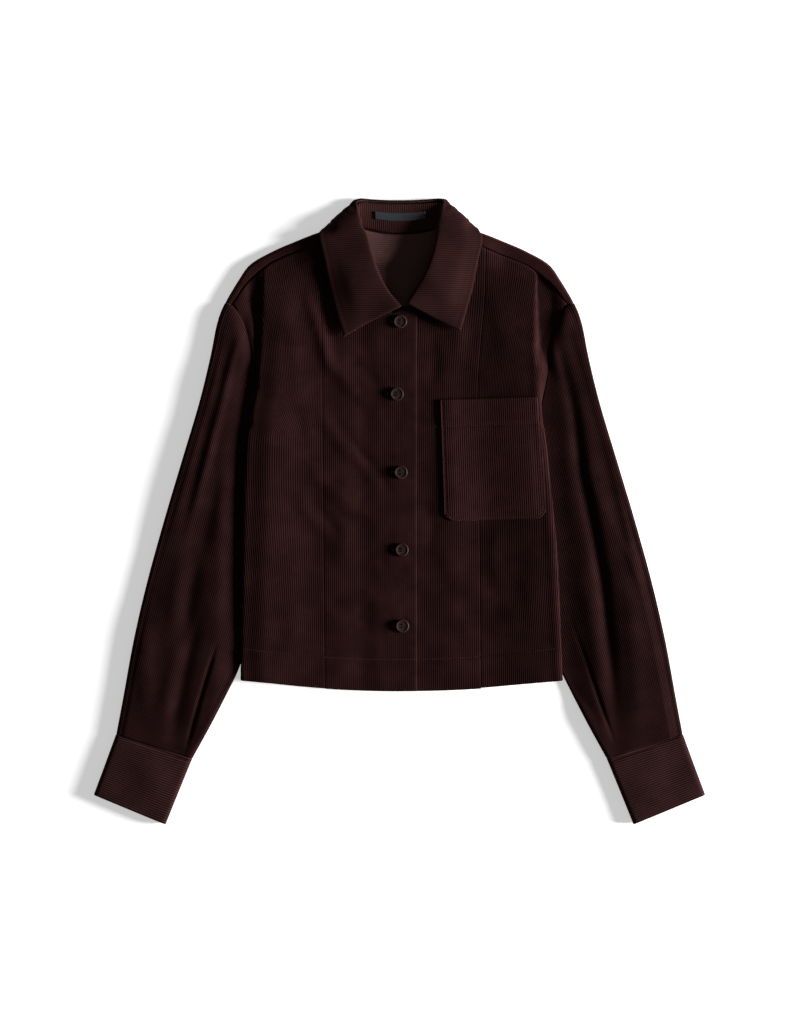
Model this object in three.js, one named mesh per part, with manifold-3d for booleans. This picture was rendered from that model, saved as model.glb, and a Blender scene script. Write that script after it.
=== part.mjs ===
// Cropped corduroy jacket, laid flat on its back with the fronts up.
// Lengths are millimetres. +X is the viewer's right, +Y is towards the collar, z = 0 is the floor.
// "out" is the distance from the middle line, so one row serves both sides of the garment.
// "left" and "right" are the viewer's.
import * as THREE from 'three';
import Module from 'manifold-3d';

const wasm = await Module();
wasm.setup();

// Cloth and air
const CLOTH = 1.6;
const DOUBLED = 2.4;
const SATIN = 1.0;
const SEAM = 0.3;
const LAID = 0.45;
const LEAF_CLEARANCE = 0.9;
const FRONT_AIR = 0.6;
const SLEEVE_AIR = 1.0;

// Heights of the middle of each layer above the floor
const BACK_MID = CLOTH / 2;
const FRONT_MID = CLOTH + FRONT_AIR + CLOTH / 2;
const SLEEVE_PRESSED = CLOTH + SLEEVE_AIR + CLOTH / 2;
const OVER_SLEEVE = SLEEVE_PRESSED + CLOTH + SEAM;
const LAP_STEP = CLOTH + SEAM;
const SHOULDER_TOP = 6.2;
const COLLAR_LIFT = DOUBLED + 0.9;
const SLEEVE_PUFF = 5.2;
const CUFF_TOP = 7.4;

// Plan sizes
const RISE_WIDTH = 94;
const FOLD_INSET = 5.5;
const BACK_SEAM_Y = 215;
const ARMPIT_Y = 94;
const NECK_HALF = 57.6;
const NECK_BACK_Y = 332;
const NECK_SIDE_Y = 344;
const LAP_EDGE_X = 21;
const UNDER_EDGE_X = -17;
const HEM_SIDE_Y = -203;
const HEM_DIP = 14;
const HEM_HALF = 190;

// Side fold of the body, its outermost line, from the shoulder to the hem
const FOLD = [
  { y: 290, left: 165, right: 168 },
  { y: 205, left: 170, right: 169 },
  { y: 133, left: 177, right: 170 },
  { y: 73, left: 183, right: 176 },
  { y: 13, left: 186, right: 182 },
  { y: -59, left: 188, right: 189 },
  { y: -203, left: 191, right: 196 },
];

// Height of the front's middle layer along that fold
const RIDGE = [
  { y: 300, height: 6.2 },
  { y: 262, height: 7.5 },
  { y: 205, height: 11 },
  { y: 133, height: 13 },
  { y: 73, height: 13 },
  { y: -59, height: 11.5 },
  { y: -203, height: 9 },
];

// Where the front side piece ends: the armhole down to the armpit, then the side seam
const SIDE_EDGE = [
  { y: 247, left: 201.5, right: 201.5 },
  { y: 240, left: 195.5, right: 195.5 },
  { y: 229, left: 188.5, right: 188.5 },
  { y: 208, left: 181.5, right: 181.5 },
  { y: 196, left: 179, right: 179 },
  { y: 157, left: 176, right: 175 },
  { y: 140, left: 173, right: 172 },
  { y: 122, left: 168, right: 167 },
  { y: 108, left: 160, right: 159 },
  { y: 94, left: 148, right: 148 },
  { y: 60, left: 150, right: 150 },
  { y: 13, left: 155, right: 155 },
  { y: -47, left: 164, right: 165 },
  { y: -107, left: 173, right: 175 },
  { y: -155, left: 180, right: 184 },
  { y: -203, left: 186, right: 191 },
];

// Seam between the centre and side pieces of each front
const PANEL_SEAM = [
  { y: 321, left: 100, right: 104 },
  { y: 265, left: 96, right: 103 },
  { y: 205, left: 93, right: 98 },
  { y: 139, left: 92.5, right: 94 },
  { y: -35, left: 91, right: 96.5 },
  { y: -215, left: 89.5, right: 98 },
];

// Fold of the shoulder, the outline from the neck to the armhole
const SHOULDER = [
  { out: 57.6, y: 347 },
  { out: 80, y: 339.5 },
  { out: 105, y: 331 },
  { out: 128, y: 322 },
  { out: 150, y: 312.5 },
  { out: 180, y: 295 },
  { out: 193, y: 277 },
  { out: 204, y: 259 },
  { out: 209.5, y: 249.5 },
];

// Seam of the yoke on the fronts
const YOKE_SEAM = [
  { out: 57.6, left: 336, right: 334 },
  { out: 101, left: 320, right: 316 },
  { out: 127, left: 310.5, right: 305 },
  { out: 152, left: 299.5, right: 295 },
  { out: 171, left: 286, right: 282 },
  { out: 187, left: 270, right: 268 },
  { out: 201.5, left: 247, right: 247 },
];

// Neck seam on the fronts, from the shoulder to the centre
const NECK_SEAM = [
  { left: 57.6, leftY: 336, right: 57.6, rightY: 334 },
  { left: 57, leftY: 318, right: 57.6, rightY: 316 },
  { left: 52, leftY: 292, right: 54.8, rightY: 291.5 },
  { left: 40, leftY: 264, right: 45.8, rightY: 264.5 },
  { left: 22, leftY: 246, right: 31, rightY: 247.5 },
  { left: 8, leftY: 240.5, right: 18.5, rightY: 243 },
];
const NECK_TOP_Y = { left: 245, right: 243 };

// Sleeve: outline, hidden inner fold, and the armhole seam on the front and on the back
const SLEEVE_OUTER = [
  { out: 210, y: 248.8 },
  { out: 214.5, y: 239 },
  { out: 219.5, y: 222.8 },
  { out: 226.5, y: 186.8 },
  { out: 239.5, y: 132.8 },
  { out: 261, y: 60.8 },
  { out: 282.5, y: -11.2 },
  { out: 302.5, y: -83.2 },
  { out: 319.2, y: -155.2 },
  { out: 332.4, y: -227.2 },
  { out: 340.2, y: -268.8 },
];
const SLEEVE_INNER = [
  { out: 148, y: 94 },
  { out: 146, y: 60 },
  { out: 147, y: 20 },
  { out: 155, y: -47 },
  { out: 167, y: -107 },
  { out: 181, y: -155 },
  { out: 193.5, y: -191 },
  { out: 208, y: -221 },
  { out: 226, y: -256 },
  { out: 248.8, y: -297.5 },
];
const ARMHOLE_FRONT = [
  { out: 210, y: 248.8 },
  { out: 201.5, y: 246.5 },
  { out: 189, y: 229 },
  { out: 182, y: 208 },
  { out: 179, y: 190 },
  { out: 176, y: 157 },
  { out: 168, y: 122 },
  { out: 148, y: 94 },
];
const ARMHOLE_BACK = [
  { out: 210, y: 248.8 },
  { out: 197, y: 215 },
  { out: 183, y: 180 },
  { out: 169, y: 145 },
  { out: 156, y: 112 },
  { out: 148, y: 94 },
];

// Long hollow of each sleeve's upper side, from the armhole to the cuff
const SLEEVE_HOLLOW = [
  { y: 200, left: 196, right: 192, depth: 0.5 },
  { y: 137, left: 206, right: 205, depth: 2 },
  { y: 43, left: 222, right: 218, depth: 2.6 },
  { y: -88, left: 250, right: 245, depth: 2.6 },
  { y: -219, left: 262, right: 257, depth: 2.2 },
  { y: -285, left: 266, right: 260, depth: 1.5 },
];
const HOLLOW_WIDTH = 15;

// Cuff corners, and the inset that the cloth's own thickness takes
const CUFF = {
  outerTop: { out: 340.9, y: -269.2 },
  innerTop: { out: 248.9, y: -297.9 },
  outerEnd: { out: 367.4, y: -341 },
  innerEnd: { out: 280.9, y: -376.8 },
};

// Collar, one row for each line across it. foot is where the stand is sewn, top is where the stand
// ends and the leaf starts to roll over, bend is a point on the leaf's way, edge is its outer edge.
// under = 1 where the leaf has folded behind the neck and lies on the floor.
const COLLAR = {
  left: [
    { foot: [8, 241.5], top: [-0.4, 245, 8.6], bend: [38, 225, 9.6], edge: [66.6, 208.8], under: 0 },
    { foot: [21.5, 247.5], top: [13.3, 260.5, 10.5], bend: [50, 246, 11.6], edge: [76.2, 238.4], under: 0 },
    { foot: [39.5, 265], top: [25.4, 282.4, 13], bend: [59, 273, 13.6], edge: [84, 269.6], under: 0 },
    { foot: [51.3, 292.5], top: [34.4, 308, 14.5], bend: [67, 303, 15.4], edge: [90.6, 302], under: 0 },
    { foot: [56, 318], top: [41, 329, 14.5], bend: [73, 331, 16.2], edge: [96.5, 330], under: 0 },
  ],
  right: [
    { foot: [20, 247.6], top: [10.5, 250, 8.6], bend: [47, 228, 8.6], edge: [73.4, 215.6], under: 0 },
    { foot: [30.5, 249], top: [19.9, 263.4, 10], bend: [55, 249, 11.6], edge: [80.4, 240], under: 0 },
    { foot: [45, 265.5], top: [30.2, 280.6, 13], bend: [63, 272, 13.6], edge: [88, 268], under: 0 },
    { foot: [54, 292], top: [39.4, 304, 14.5], bend: [71, 299, 15.4], edge: [94, 299], under: 0 },
    { foot: [56.3, 316], top: [45, 326, 14.5], bend: [77, 328, 16.2], edge: [99, 328], under: 0 },
  ],
  turn: [
    { foot: [56, 333], top: [46, 338, 13.6], bend: [75, 338.5, 15.4], edge: [95.2, 335], under: 0.3 },
    { foot: [56.3, 339], top: [47.3, 344, 12.8], bend: [79, 343.6, 13], edge: [92.4, 338], under: 0.6 },
    { foot: [56.2, 343.5], top: [48.5, 349, 12], bend: [80.2, 347.8, 9.4], edge: [86, 335], under: 1 },
    { foot: [55.3, 345.5], top: [49.5, 355, 10.6], bend: [74, 353, 7.4], edge: [77.5, 330], under: 1 },
    { foot: [54, 346.8], top: [50, 360.5, 9], bend: [66.6, 359.7, 6.2], edge: [67, 325.5], under: 1 },
    { foot: [50, 344], top: [50.8, 368.4, 7.4], bend: [58, 369.2, 5], edge: [57, 322.5], under: 1 },
    { foot: [46, 340.2], top: [46.5, 371.4, 6.4], bend: [49.5, 375.2, 3.9], edge: [46, 320.5], under: 1 },
    { foot: [32, 336.6], top: [33, 370.9, 5.6], bend: [33.5, 374.6, 3.3], edge: [33, 319.5], under: 1 },
    { foot: [16, 333.6], top: [17, 370.2, 5.3], bend: [17, 374, 3.2], edge: [17, 319], under: 1 },
  ],
  middle: { foot: [0, 332.4], top: [0, 370, 5.3], bend: [0, 373.8, 3.2], edge: [0, 319], under: 1 },
};
const TURN_FOOT_HEIGHTS = [9.3, 9, 8, 7, 5.8, 4.6, 4.3, 4.1, 4.1];
const TURN_EDGE_HEIGHTS = [10.5, 5.5];
const BACK_FOOT_HEIGHT = 4.1;
const ROLL_RADIUS = 2.4;

const BUTTON = { diameter: 16, thickness: 3, rim: 0.7, hole: 1.7, holePitch: 3.4 };
const BUTTON_PLACES = [
  { x: 1, y: 227 },
  { x: -3, y: 140 },
  { x: 1.8, y: 46 },
  { x: 3, y: -47 },
  { x: 3.5, y: -138.4 },
];

// Patch pocket: corners of its straight part, and the radius of its lower corners
const POCKET = {
  topInner: [48.6, 133],
  topOuter: [168.5, 136.5],
  bottomInner: [53.5, -12.5],
  bottomOuter: [176, -9],
  radius: 13,
};

const LABEL = { first: 22, last: 28, low: 0.41, high: 0.67 };

const materials = {
  corduroy: { color: 0x2a1717, roughness: 0.92, metalness: 0 },
  yoke: { color: 0x2e1a1a, roughness: 0.92, metalness: 0 },
  collar: { color: 0x2c1919, roughness: 0.9, metalness: 0 },
  cuff: { color: 0x2d1b1b, roughness: 0.9, metalness: 0 },
  satin: { color: 0x1a1a1c, roughness: 0.45, metalness: 0 },
  horn: { color: 0x3a2c26, roughness: 0.35, metalness: 0 },
};

function clamp01(value) {
  return Math.min(1, Math.max(0, value));
}

function ease(value) {
  const t = clamp01(value);
  return t * t * (3 - 2 * t);
}

function mix(a, b, t) {
  return a + (b - a) * t;
}

// Reads a column of a table at any key, as a smooth curve that never overshoots its rows
function read(rows, key, at, column) {
  const sorted = [...rows].sort((a, b) => a[key] - b[key]);
  const last = sorted.length - 1;
  if (at <= sorted[0][key]) return sorted[0][column];
  if (at >= sorted[last][key]) return sorted[last][column];
  const slope = (n) => (sorted[n + 1][column] - sorted[n][column]) / (sorted[n + 1][key] - sorted[n][key]);
  const tangent = (n) => {
    if (n === 0) return slope(0);
    if (n === last) return slope(last - 1);
    const before = slope(n - 1);
    const after = slope(n);
    return before * after <= 0 ? 0 : (2 * before * after) / (before + after);
  };
  let row = 0;
  while (sorted[row + 1][key] < at) row += 1;
  const span = sorted[row + 1][key] - sorted[row][key];
  const t = (at - sorted[row][key]) / span;
  const bulge = t * t * (3 - 2 * t);
  const rise = sorted[row + 1][column] - sorted[row][column];
  const start = tangent(row) * span * t * (1 - t) * (1 - t);
  const end = tangent(row + 1) * span * t * t * (t - 1);
  return sorted[row][column] + rise * bulge + start + end;
}

function sign(side) {
  return side === 'left' ? -1 : 1;
}

function sideOf(x) {
  return x < 0 ? 'left' : 'right';
}

// A closed wall of even thickness on a grid of middle points.
// keep(i, j) leaves cells out; wrap joins the last column to the first.
function wall(name, grid, thickness, material, options = {}) {
  const rows = grid.length;
  const columns = grid[0].length;
  const keep = options.keep ?? (() => true);
  const cellColumns = options.wrap ? columns : columns - 1;
  const index = (i, j) => i * columns + (j % columns);
  const middle = grid.flat().map((p) => new THREE.Vector3(...p));
  const normals = middle.map(() => new THREE.Vector3());
  const used = new Set();
  const cells = [];
  for (let i = 0; i < rows - 1; i += 1) {
    for (let j = 0; j < cellColumns; j += 1) {
      if (!keep(i, j)) continue;
      const corners = [index(i, j), index(i, j + 1), index(i + 1, j + 1), index(i + 1, j)];
      cells.push(corners);
      const across = middle[corners[2]].clone().sub(middle[corners[0]]);
      const other = middle[corners[3]].clone().sub(middle[corners[1]]);
      const normal = across.cross(other).normalize();
      for (const corner of corners) {
        normals[corner].add(normal);
        used.add(corner);
      }
    }
  }
  const slot = new Map([...used].map((corner, n) => [corner, n]));
  const count = slot.size;
  const positions = new Float32Array(count * 6);
  for (const [corner, n] of slot) {
    const offset = normals[corner].normalize().multiplyScalar(thickness / 2);
    middle[corner].clone().add(offset).toArray(positions, n * 3);
    middle[corner].clone().sub(offset).toArray(positions, (count + n) * 3);
  }
  const faces = [];
  const edges = new Map();
  for (const corners of cells) {
    const [a, b, c, d] = corners.map((corner) => slot.get(corner));
    faces.push(a, b, c, a, c, d);
    faces.push(count + c, count + b, count + a, count + d, count + c, count + a);
    for (const [from, to] of [[a, b], [b, c], [c, d], [d, a]]) {
      if (edges.has(`${to}-${from}`)) edges.delete(`${to}-${from}`);
      else edges.set(`${from}-${to}`, [from, to]);
    }
  }
  for (const [from, to] of edges.values()) {
    faces.push(to, from, count + from, to, count + from, count + to);
  }
  return meshFrom(name, positions, faces, material);
}

// A mesh whose faces point out, whichever way its grid ran
function meshFrom(name, positions, faces, material) {
  let volume = 0;
  const corner = (n) => new THREE.Vector3().fromArray(positions, faces[n] * 3);
  for (let f = 0; f < faces.length; f += 3) {
    volume += corner(f).dot(corner(f + 1).cross(corner(f + 2)));
  }
  const order = volume < 0 ? [...faces].reverse() : faces;
  const geometry = new THREE.BufferGeometry();
  geometry.setAttribute('position', new THREE.BufferAttribute(positions, 3));
  geometry.setIndex(order);
  const mesh = new THREE.Mesh(geometry, new THREE.MeshStandardMaterial(materials[material]));
  mesh.name = name;
  return mesh;
}

// A smooth plan curve through a table of places
function planCurve(rows, side) {
  const points = rows.map((row) => new THREE.Vector3(sign(side) * row.out, row.y, 0));
  return new THREE.CatmullRomCurve3(points, false, 'centripetal');
}

function shoulderY(out) {
  return read(SHOULDER, 'out', out, 'y');
}

function yokeSeamY(out, side) {
  return read(YOKE_SEAM, 'out', out, side);
}

// Lift of the yoke where the turned-down collar lies beneath it
function collarLift(x, y) {
  return COLLAR_LIFT * ease((y - 294) / 15) * ease((116 - Math.abs(x)) / 12);
}

// Height of the front's middle layer: flat in the middle, up to a ridge at the side fold
// and up to the fold of the shoulder
function frontHeight(x, y) {
  const side = sideOf(x);
  const out = Math.abs(x);
  const ridgeLine = read(FOLD, 'y', y, side) - FOLD_INSET;
  const rise = ease((out - (ridgeLine - RISE_WIDTH)) / RISE_WIDTH);
  const shoulder = ease((y - (shoulderY(out) - 62)) / 50);
  const ridge = FRONT_MID + (read(RIDGE, 'y', y, 'height') - FRONT_MID) * rise;
  return mix(ridge, SHOULDER_TOP, shoulder) + collarLift(x, y + 9);
}

// The front that laps over steps up where the other front lies beneath it
function lapHeight(x, y) {
  return frontHeight(x, y) + LAP_STEP * ease((x - (UNDER_EDGE_X - 30)) / 14);
}

// Lift of the body's under layer over the sleeve's inner fold
function sleeveLift(x, y) {
  const inner = read(SLEEVE_INNER, 'y', y, 'out');
  const across = ease((Math.abs(x) - (inner - 16)) / 10);
  const above = ease((ARMPIT_Y + 11 - y) / 9);
  return (OVER_SLEEVE - BACK_MID) * across * above;
}

function hemY(x) {
  return HEM_SIDE_Y - HEM_DIP * (1 - Math.min(1, (x / HEM_HALF) ** 2));
}

// Front side piece: across from the panel seam to the ridge, then round the side fold to the
// side seam below the armpit, or down into the armhole seam above it
const SIDE_ROWS = [-203, -165, -120, -75, -30, 15, 55, 82, 94, 103, 112, 122, 136, 155, 180, 205, 222, 234, 241, 246.6];
const SIDE_TOP_CELLS = 9;
const SIDE_TURN_CELLS = 6;

function sideRow(side, edgeY) {
  const up = ease((edgeY - 95) / 152);
  const seamY = edgeY - 10 * ease((95 - edgeY) / 298) + (yokeSeamY(102, side) - 0.4 - 247) * up;
  const bow = ease((edgeY - 150) / 92);
  const underYoke = (out) => yokeSeamY(out, side) - 0.4 - (246.6 - edgeY);
  const atYoke = ease((edgeY - 236) / 10.6);
  const seamTopY = mix(seamY, underYoke(read(PANEL_SEAM, 'y', seamY, side)), bow);
  const seamOut = read(PANEL_SEAM, 'y', seamTopY, side) + SEAM;
  const foldOut = read(FOLD, 'y', edgeY, side) - CLOTH / 2;
  const undercut = ease((165 - edgeY) / 42);
  const edgeOut = read(SIDE_EDGE, 'y', edgeY, side) + mix(-0.4, SEAM / 2, undercut);
  const ridgeY = mix(seamY, edgeY, 0.85);
  const ridgeOut = read(FOLD, 'y', ridgeY, side) - FOLD_INSET;
  const points = [];
  for (let n = 0; n <= SIDE_TOP_CELLS; n += 1) {
    const t = n / SIDE_TOP_CELLS;
    const out = mix(seamOut, ridgeOut, t);
    const y = mix(mix(seamY, ridgeY, t), underYoke(out), bow);
    points.push([sign(side) * out, y, frontHeight(sign(side) * out, y)]);
  }
  const start = points[points.length - 1];
  const edgeX = sign(side) * edgeOut;
  const seamHeight = mix(OVER_SLEEVE, SHOULDER_TOP, ease((edgeY - 196) / 50));
  const edgeHeight = edgeY > ARMPIT_Y ? seamHeight : BACK_MID + sleeveLift(edgeX, edgeY);
  const handleOut = (foldOut - (ridgeOut + edgeOut) / 8) / 0.75;
  const diveOut = mix(ridgeOut, edgeOut, 0.55);
  const diveHeight = mix(edgeHeight, start[2], 0.75);
  const handles = [
    [mix(mix(ridgeOut, edgeOut, 0.4), handleOut, undercut), start[2]],
    [mix(diveOut, handleOut, undercut), mix(diveHeight, edgeHeight, undercut)],
  ];
  for (let n = 1; n <= SIDE_TURN_CELLS; n += 1) {
    const t = n / SIDE_TURN_CELLS;
    const weights = [(1 - t) ** 3, 3 * (1 - t) ** 2 * t, 3 * (1 - t) * t * t, t ** 3];
    const places = [[ridgeOut, start[2]], ...handles, [edgeOut, edgeHeight]];
    const out = places.reduce((sum, place, k) => sum + place[0] * weights[k], 0);
    const height = places.reduce((sum, place, k) => sum + place[1] * weights[k], 0);
    const y = mix(mix(start[1], edgeY, t), underYoke(out), bow * atYoke * ease(t / 0.2));
    points.push([sign(side) * out, y, height]);
  }
  return points;
}

function frontSide(name, side) {
  const grid = SIDE_ROWS.map((edgeY) => sideRow(side, edgeY));
  return wall(name, grid, CLOTH, 'corduroy');
}

// Front centre piece: columns run from the hem to the yoke seam, the neck seam or the top of the lap
const CENTRE_ROWS = [0, 0.13, 0.26, 0.38, 0.49, 0.6, 0.7, 0.78, 0.84, 0.89, 0.93, 0.965, 1];

function frontCentre(name, side, edgeX, heightOf) {
  const s = sign(side);
  const seamTop = read(PANEL_SEAM, 'y', 321, side) - SEAM / 2;
  const tops = [
    [s * seamTop, yokeSeamY(seamTop, side) - SEAM],
    [s * (NECK_HALF + 16), yokeSeamY(NECK_HALF + 16, side) - SEAM],
    ...NECK_SEAM.map((row) => [s * (row[side] + 0.6), row[`${side}Y`] - 0.6]),
    [mix(s * NECK_SEAM[5][side], edgeX, 0.4), NECK_TOP_Y[side]],
    [edgeX, NECK_TOP_Y[side]],
  ];
  const last = tops.length - 1;
  const columns = tops.map(([topX, topY], n) => {
    const share = n / last;
    return CENTRE_ROWS.map((t) => {
      const y = mix(hemY(mix(s * 90, edgeX, share)), topY, t);
      const seamX = s * (read(PANEL_SEAM, 'y', y, side) - SEAM);
      const straightX = mix(seamX, edgeX, share);
      const x = n === 0 ? seamX : mix(straightX, topX, ease((y - 60) / (topY - 60)));
      return [x, y, heightOf(x, y)];
    });
  });
  return wall(name, columns, CLOTH, 'corduroy');
}

// Back: on the floor in the middle, lifted over the sleeves at its sides
const BACK_ROWS = [-203, -165, -120, -75, -30, 15, 55, 82, 94, 105, 116, 140, 170, 195, 214.7];
const BACK_INSETS = [0.2, 5, 10, 15, 20, 26, 34, 60];

function backBody(name) {
  const grid = BACK_ROWS.map((y) => {
    const edgeOf = (side) => {
      if (y <= ARMPIT_Y) return read(SIDE_EDGE, 'y', y, side);
      return read(ARMHOLE_BACK, 'y', y, 'out') - 0.4;
    };
    const point = (x) => [x, y + hemDrop(x, y), BACK_MID + sleeveLift(x, y)];
    const left = BACK_INSETS.map((inset) => point(-(edgeOf('left') - inset)));
    const right = BACK_INSETS.map((inset) => point(edgeOf('right') - inset)).reverse();
    return [...left, point(-50), point(0), point(50), ...right];
  });
  return wall(name, grid, CLOTH, 'corduroy');
}

// The hem's dip, which fades out above it
function hemDrop(x, y) {
  return (hemY(x) - HEM_SIDE_Y) * ease((-60 - y) / 140);
}

// Yoke: flat behind, over each shoulder's fold, and down to the seam on the front
const YOKE_SIDE = 9;
const YOKE_NECK = [-46, -30, -10, 10, 30, 46];
const YOKE_BACK_CELLS = 5;
const YOKE_FOLD_CELLS = 5;
const YOKE_FRONT_CELLS = 2;

function yokeSideColumn(side, share) {
  const s = sign(side);
  const curve = planCurve([...SHOULDER].reverse(), side);
  const along = mix(0.005, 1, share);
  const crest = curve.getPointAt(along);
  const run = curve.getTangentAt(along);
  const outward = new THREE.Vector3(-run.y * -s, run.x * -s, 0).normalize();
  if (outward.y < 0) outward.negate();
  const low = BACK_MID + collarLift(crest.x, crest.y);
  const high = SHOULDER_TOP + collarLift(crest.x, crest.y);
  const radius = (high - low) / 2;
  const centre = crest.clone().addScaledVector(outward, -(radius + CLOTH / 2));
  const start = [s * mix(196, NECK_HALF, share), BACK_SEAM_Y + SEAM];
  const seamOut = mix(200.8, NECK_HALF + 1.2, share);
  const end = [s * seamOut, yokeSeamY(seamOut, side) + 0.8];
  const points = [];
  for (let n = 0; n < YOKE_BACK_CELLS; n += 1) {
    const t = 1 - (1 - n / YOKE_BACK_CELLS) ** 1.6;
    const x = mix(start[0], centre.x, t);
    const y = mix(start[1], centre.y, t);
    points.push([x, y, BACK_MID + collarLift(x, y)]);
  }
  for (let n = 0; n <= YOKE_FOLD_CELLS; n += 1) {
    const angle = Math.PI * (n / YOKE_FOLD_CELLS - 0.5);
    const reach = radius * Math.cos(angle);
    const height = (low + high) / 2 + radius * Math.sin(angle);
    points.push([centre.x + outward.x * reach, centre.y + outward.y * reach, height]);
  }
  for (let n = 1; n <= YOKE_FRONT_CELLS; n += 1) {
    const t = n / YOKE_FRONT_CELLS;
    const x = mix(centre.x, end[0], t);
    const y = mix(centre.y, end[1], t);
    points.push([x, y, mix(high, frontHeight(x, y), t)]);
  }
  return points;
}

function neckBackY(x) {
  return mix(NECK_BACK_Y, NECK_SIDE_Y, (Math.abs(x) / NECK_HALF) ** 2.5);
}

function backYoke(name) {
  const rows = YOKE_BACK_CELLS + YOKE_FOLD_CELLS + YOKE_FRONT_CELLS + 1;
  const columns = [];
  for (let n = 0; n <= YOKE_SIDE; n += 1) columns.push(yokeSideColumn('left', n / YOKE_SIDE));
  for (const x of YOKE_NECK) {
    const column = [];
    for (let n = 0; n < rows; n += 1) {
      const t = 1 - (1 - Math.min(1, n / YOKE_BACK_CELLS)) ** 1.6;
      const y = mix(BACK_SEAM_Y + SEAM, neckBackY(x) - SEAM, t);
      column.push([x, y, BACK_MID + collarLift(x, y)]);
    }
    columns.push(column);
  }
  for (let n = YOKE_SIDE; n >= 0; n -= 1) columns.push(yokeSideColumn('right', n / YOKE_SIDE));
  const neckFirst = YOKE_SIDE;
  const neckLast = YOKE_SIDE + YOKE_NECK.length;
  const keep = (i, j) => i < neckFirst || i > neckLast || j < YOKE_BACK_CELLS;
  return wall(name, columns, CLOTH, 'yoke', { keep });
}

// Height of the sleeve's upper layer: pressed under the body, full outside it
function sleeveHeight(x, y, side) {
  const out = Math.abs(x);
  const bodyEdge = Math.max(read(FOLD, 'y', y, side) + 3, read(SIDE_EDGE, 'y', y, side) + 2);
  const trough = bodyEdge - 10 * ease((y - 205) / 40);
  const pastHem = ease((-208 - y) / 45);
  const full = Math.max(ease((out - trough) / 30), 0.85 * pastHem);
  const hollowOut = read(SLEEVE_HOLLOW, 'y', y, side);
  const hollow = Math.exp(-(((out - hollowOut) / HOLLOW_WIDTH) ** 2));
  const depth = read(SLEEVE_HOLLOW, 'y', y, 'depth') * hollow;
  return SLEEVE_PRESSED + Math.max(0, SLEEVE_PUFF * full - depth * full);
}

// One ring of a flattened tube between two plan curves, anticlockwise from the outer fold's underside.
// top(t) and low(t) give the plan place of each layer; heightAt gives the upper layer's height.
const ARC_CELLS = 3;

function flatRing(top, low, floorMid, heightAt, inset, topCells, lowCells) {
  const chord = top(1).clone().sub(top(0)).length();
  const margin = inset / chord;
  const bent = (t) => {
    const place = top(t);
    return heightAt(place.x, place.y);
  };
  const radiusOuter = (bent(0.05) - floorMid) / 2;
  const radiusInner = (bent(0.96) - floorMid) / 2;
  const points = [];
  const push = (t, rise, height) => {
    const place = low(t).lerp(top(t), rise);
    points.push([place.x, place.y, height]);
  };
  const arc = (radius, from, to, shareOf) => {
    for (let n = 0; n <= ARC_CELLS; n += 1) {
      const angle = mix(from, to, n / ARC_CELLS);
      const reach = radius * (1 - Math.cos(angle));
      push(shareOf(margin + reach / chord), (1 + Math.sin(angle)) / 2, floorMid + radius * (1 + Math.sin(angle)));
    }
  };
  arc(radiusOuter, -Math.PI / 2, Math.PI / 2, (t) => t);
  const first = margin + radiusOuter / chord;
  const final = 1 - margin - radiusInner / chord;
  for (let n = 1; n < topCells; n += 1) {
    const t = mix(first, final, n / topCells);
    const startBlend = ease((t - first) / 0.06);
    const endBlend = ease((final - t) / 0.06);
    const ends = mix(floorMid + 2 * radiusInner, mix(floorMid + 2 * radiusOuter, bent(t), startBlend), endBlend);
    push(t, 1, ends);
  }
  arc(radiusInner, Math.PI / 2, -Math.PI / 2, (t) => 1 - t);
  for (let n = 1; n < lowCells; n += 1) push(mix(final, first, n / lowCells), 0, floorMid);
  return points;
}

const SLEEVE_RINGS = [0.002, 0.03, 0.065, 0.105, 0.155, 0.215, 0.28, 0.35, 0.42, 0.49, 0.56, 0.63, 0.7, 0.77, 0.84, 0.9, 0.95, 0.9995];

function sleeve(name, side) {
  const outer = planCurve(SLEEVE_OUTER, side);
  const inner = planCurve(SLEEVE_INNER, side);
  const seamFront = planCurve(ARMHOLE_FRONT, side);
  const seamBack = planCurve(ARMHOLE_BACK, side);
  const rings = SLEEVE_RINGS.map((share) => {
    const from = outer.getPointAt(share);
    const to = inner.getPointAt(share);
    const bow = (1 - clamp01(share / 0.3)) ** 2;
    const layer = (seam) => (t) => {
      const straight = from.clone().lerp(to, t);
      const bent = seam.getPointAt(t).sub(seam.getPointAt(0).lerp(seam.getPointAt(1), t));
      return straight.addScaledVector(bent, bow);
    };
    const heightAt = (x, y) => sleeveHeight(x, y, side);
    return flatRing(layer(seamFront), layer(seamBack), BACK_MID, heightAt, CLOTH / 2, 11, 6);
  });
  return wall(name, rings, CLOTH, 'corduroy', { wrap: true });
}

const CUFF_RINGS = [0, 0.3, 0.65, 1];

function cuff(name, side) {
  const at = (corner) => new THREE.Vector3(sign(side) * CUFF[corner].out, CUFF[corner].y, 0);
  const rings = CUFF_RINGS.map((share) => {
    const from = at('outerTop').lerp(at('outerEnd'), share);
    const to = at('innerTop').lerp(at('innerEnd'), share);
    const line = (t) => from.clone().lerp(to, t);
    return flatRing(line, line, DOUBLED / 2, () => CUFF_TOP, DOUBLED / 2, 6, 4);
  });
  return wall(name, rings, DOUBLED, 'cuff', { wrap: true });
}

// Surface that the collar leaf lies on
function groundUnderCollar(x, y) {
  const top = x < 0 || y < 262 ? lapHeight(x, y) : frontHeight(x, y);
  return top + CLOTH / 2;
}

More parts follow.
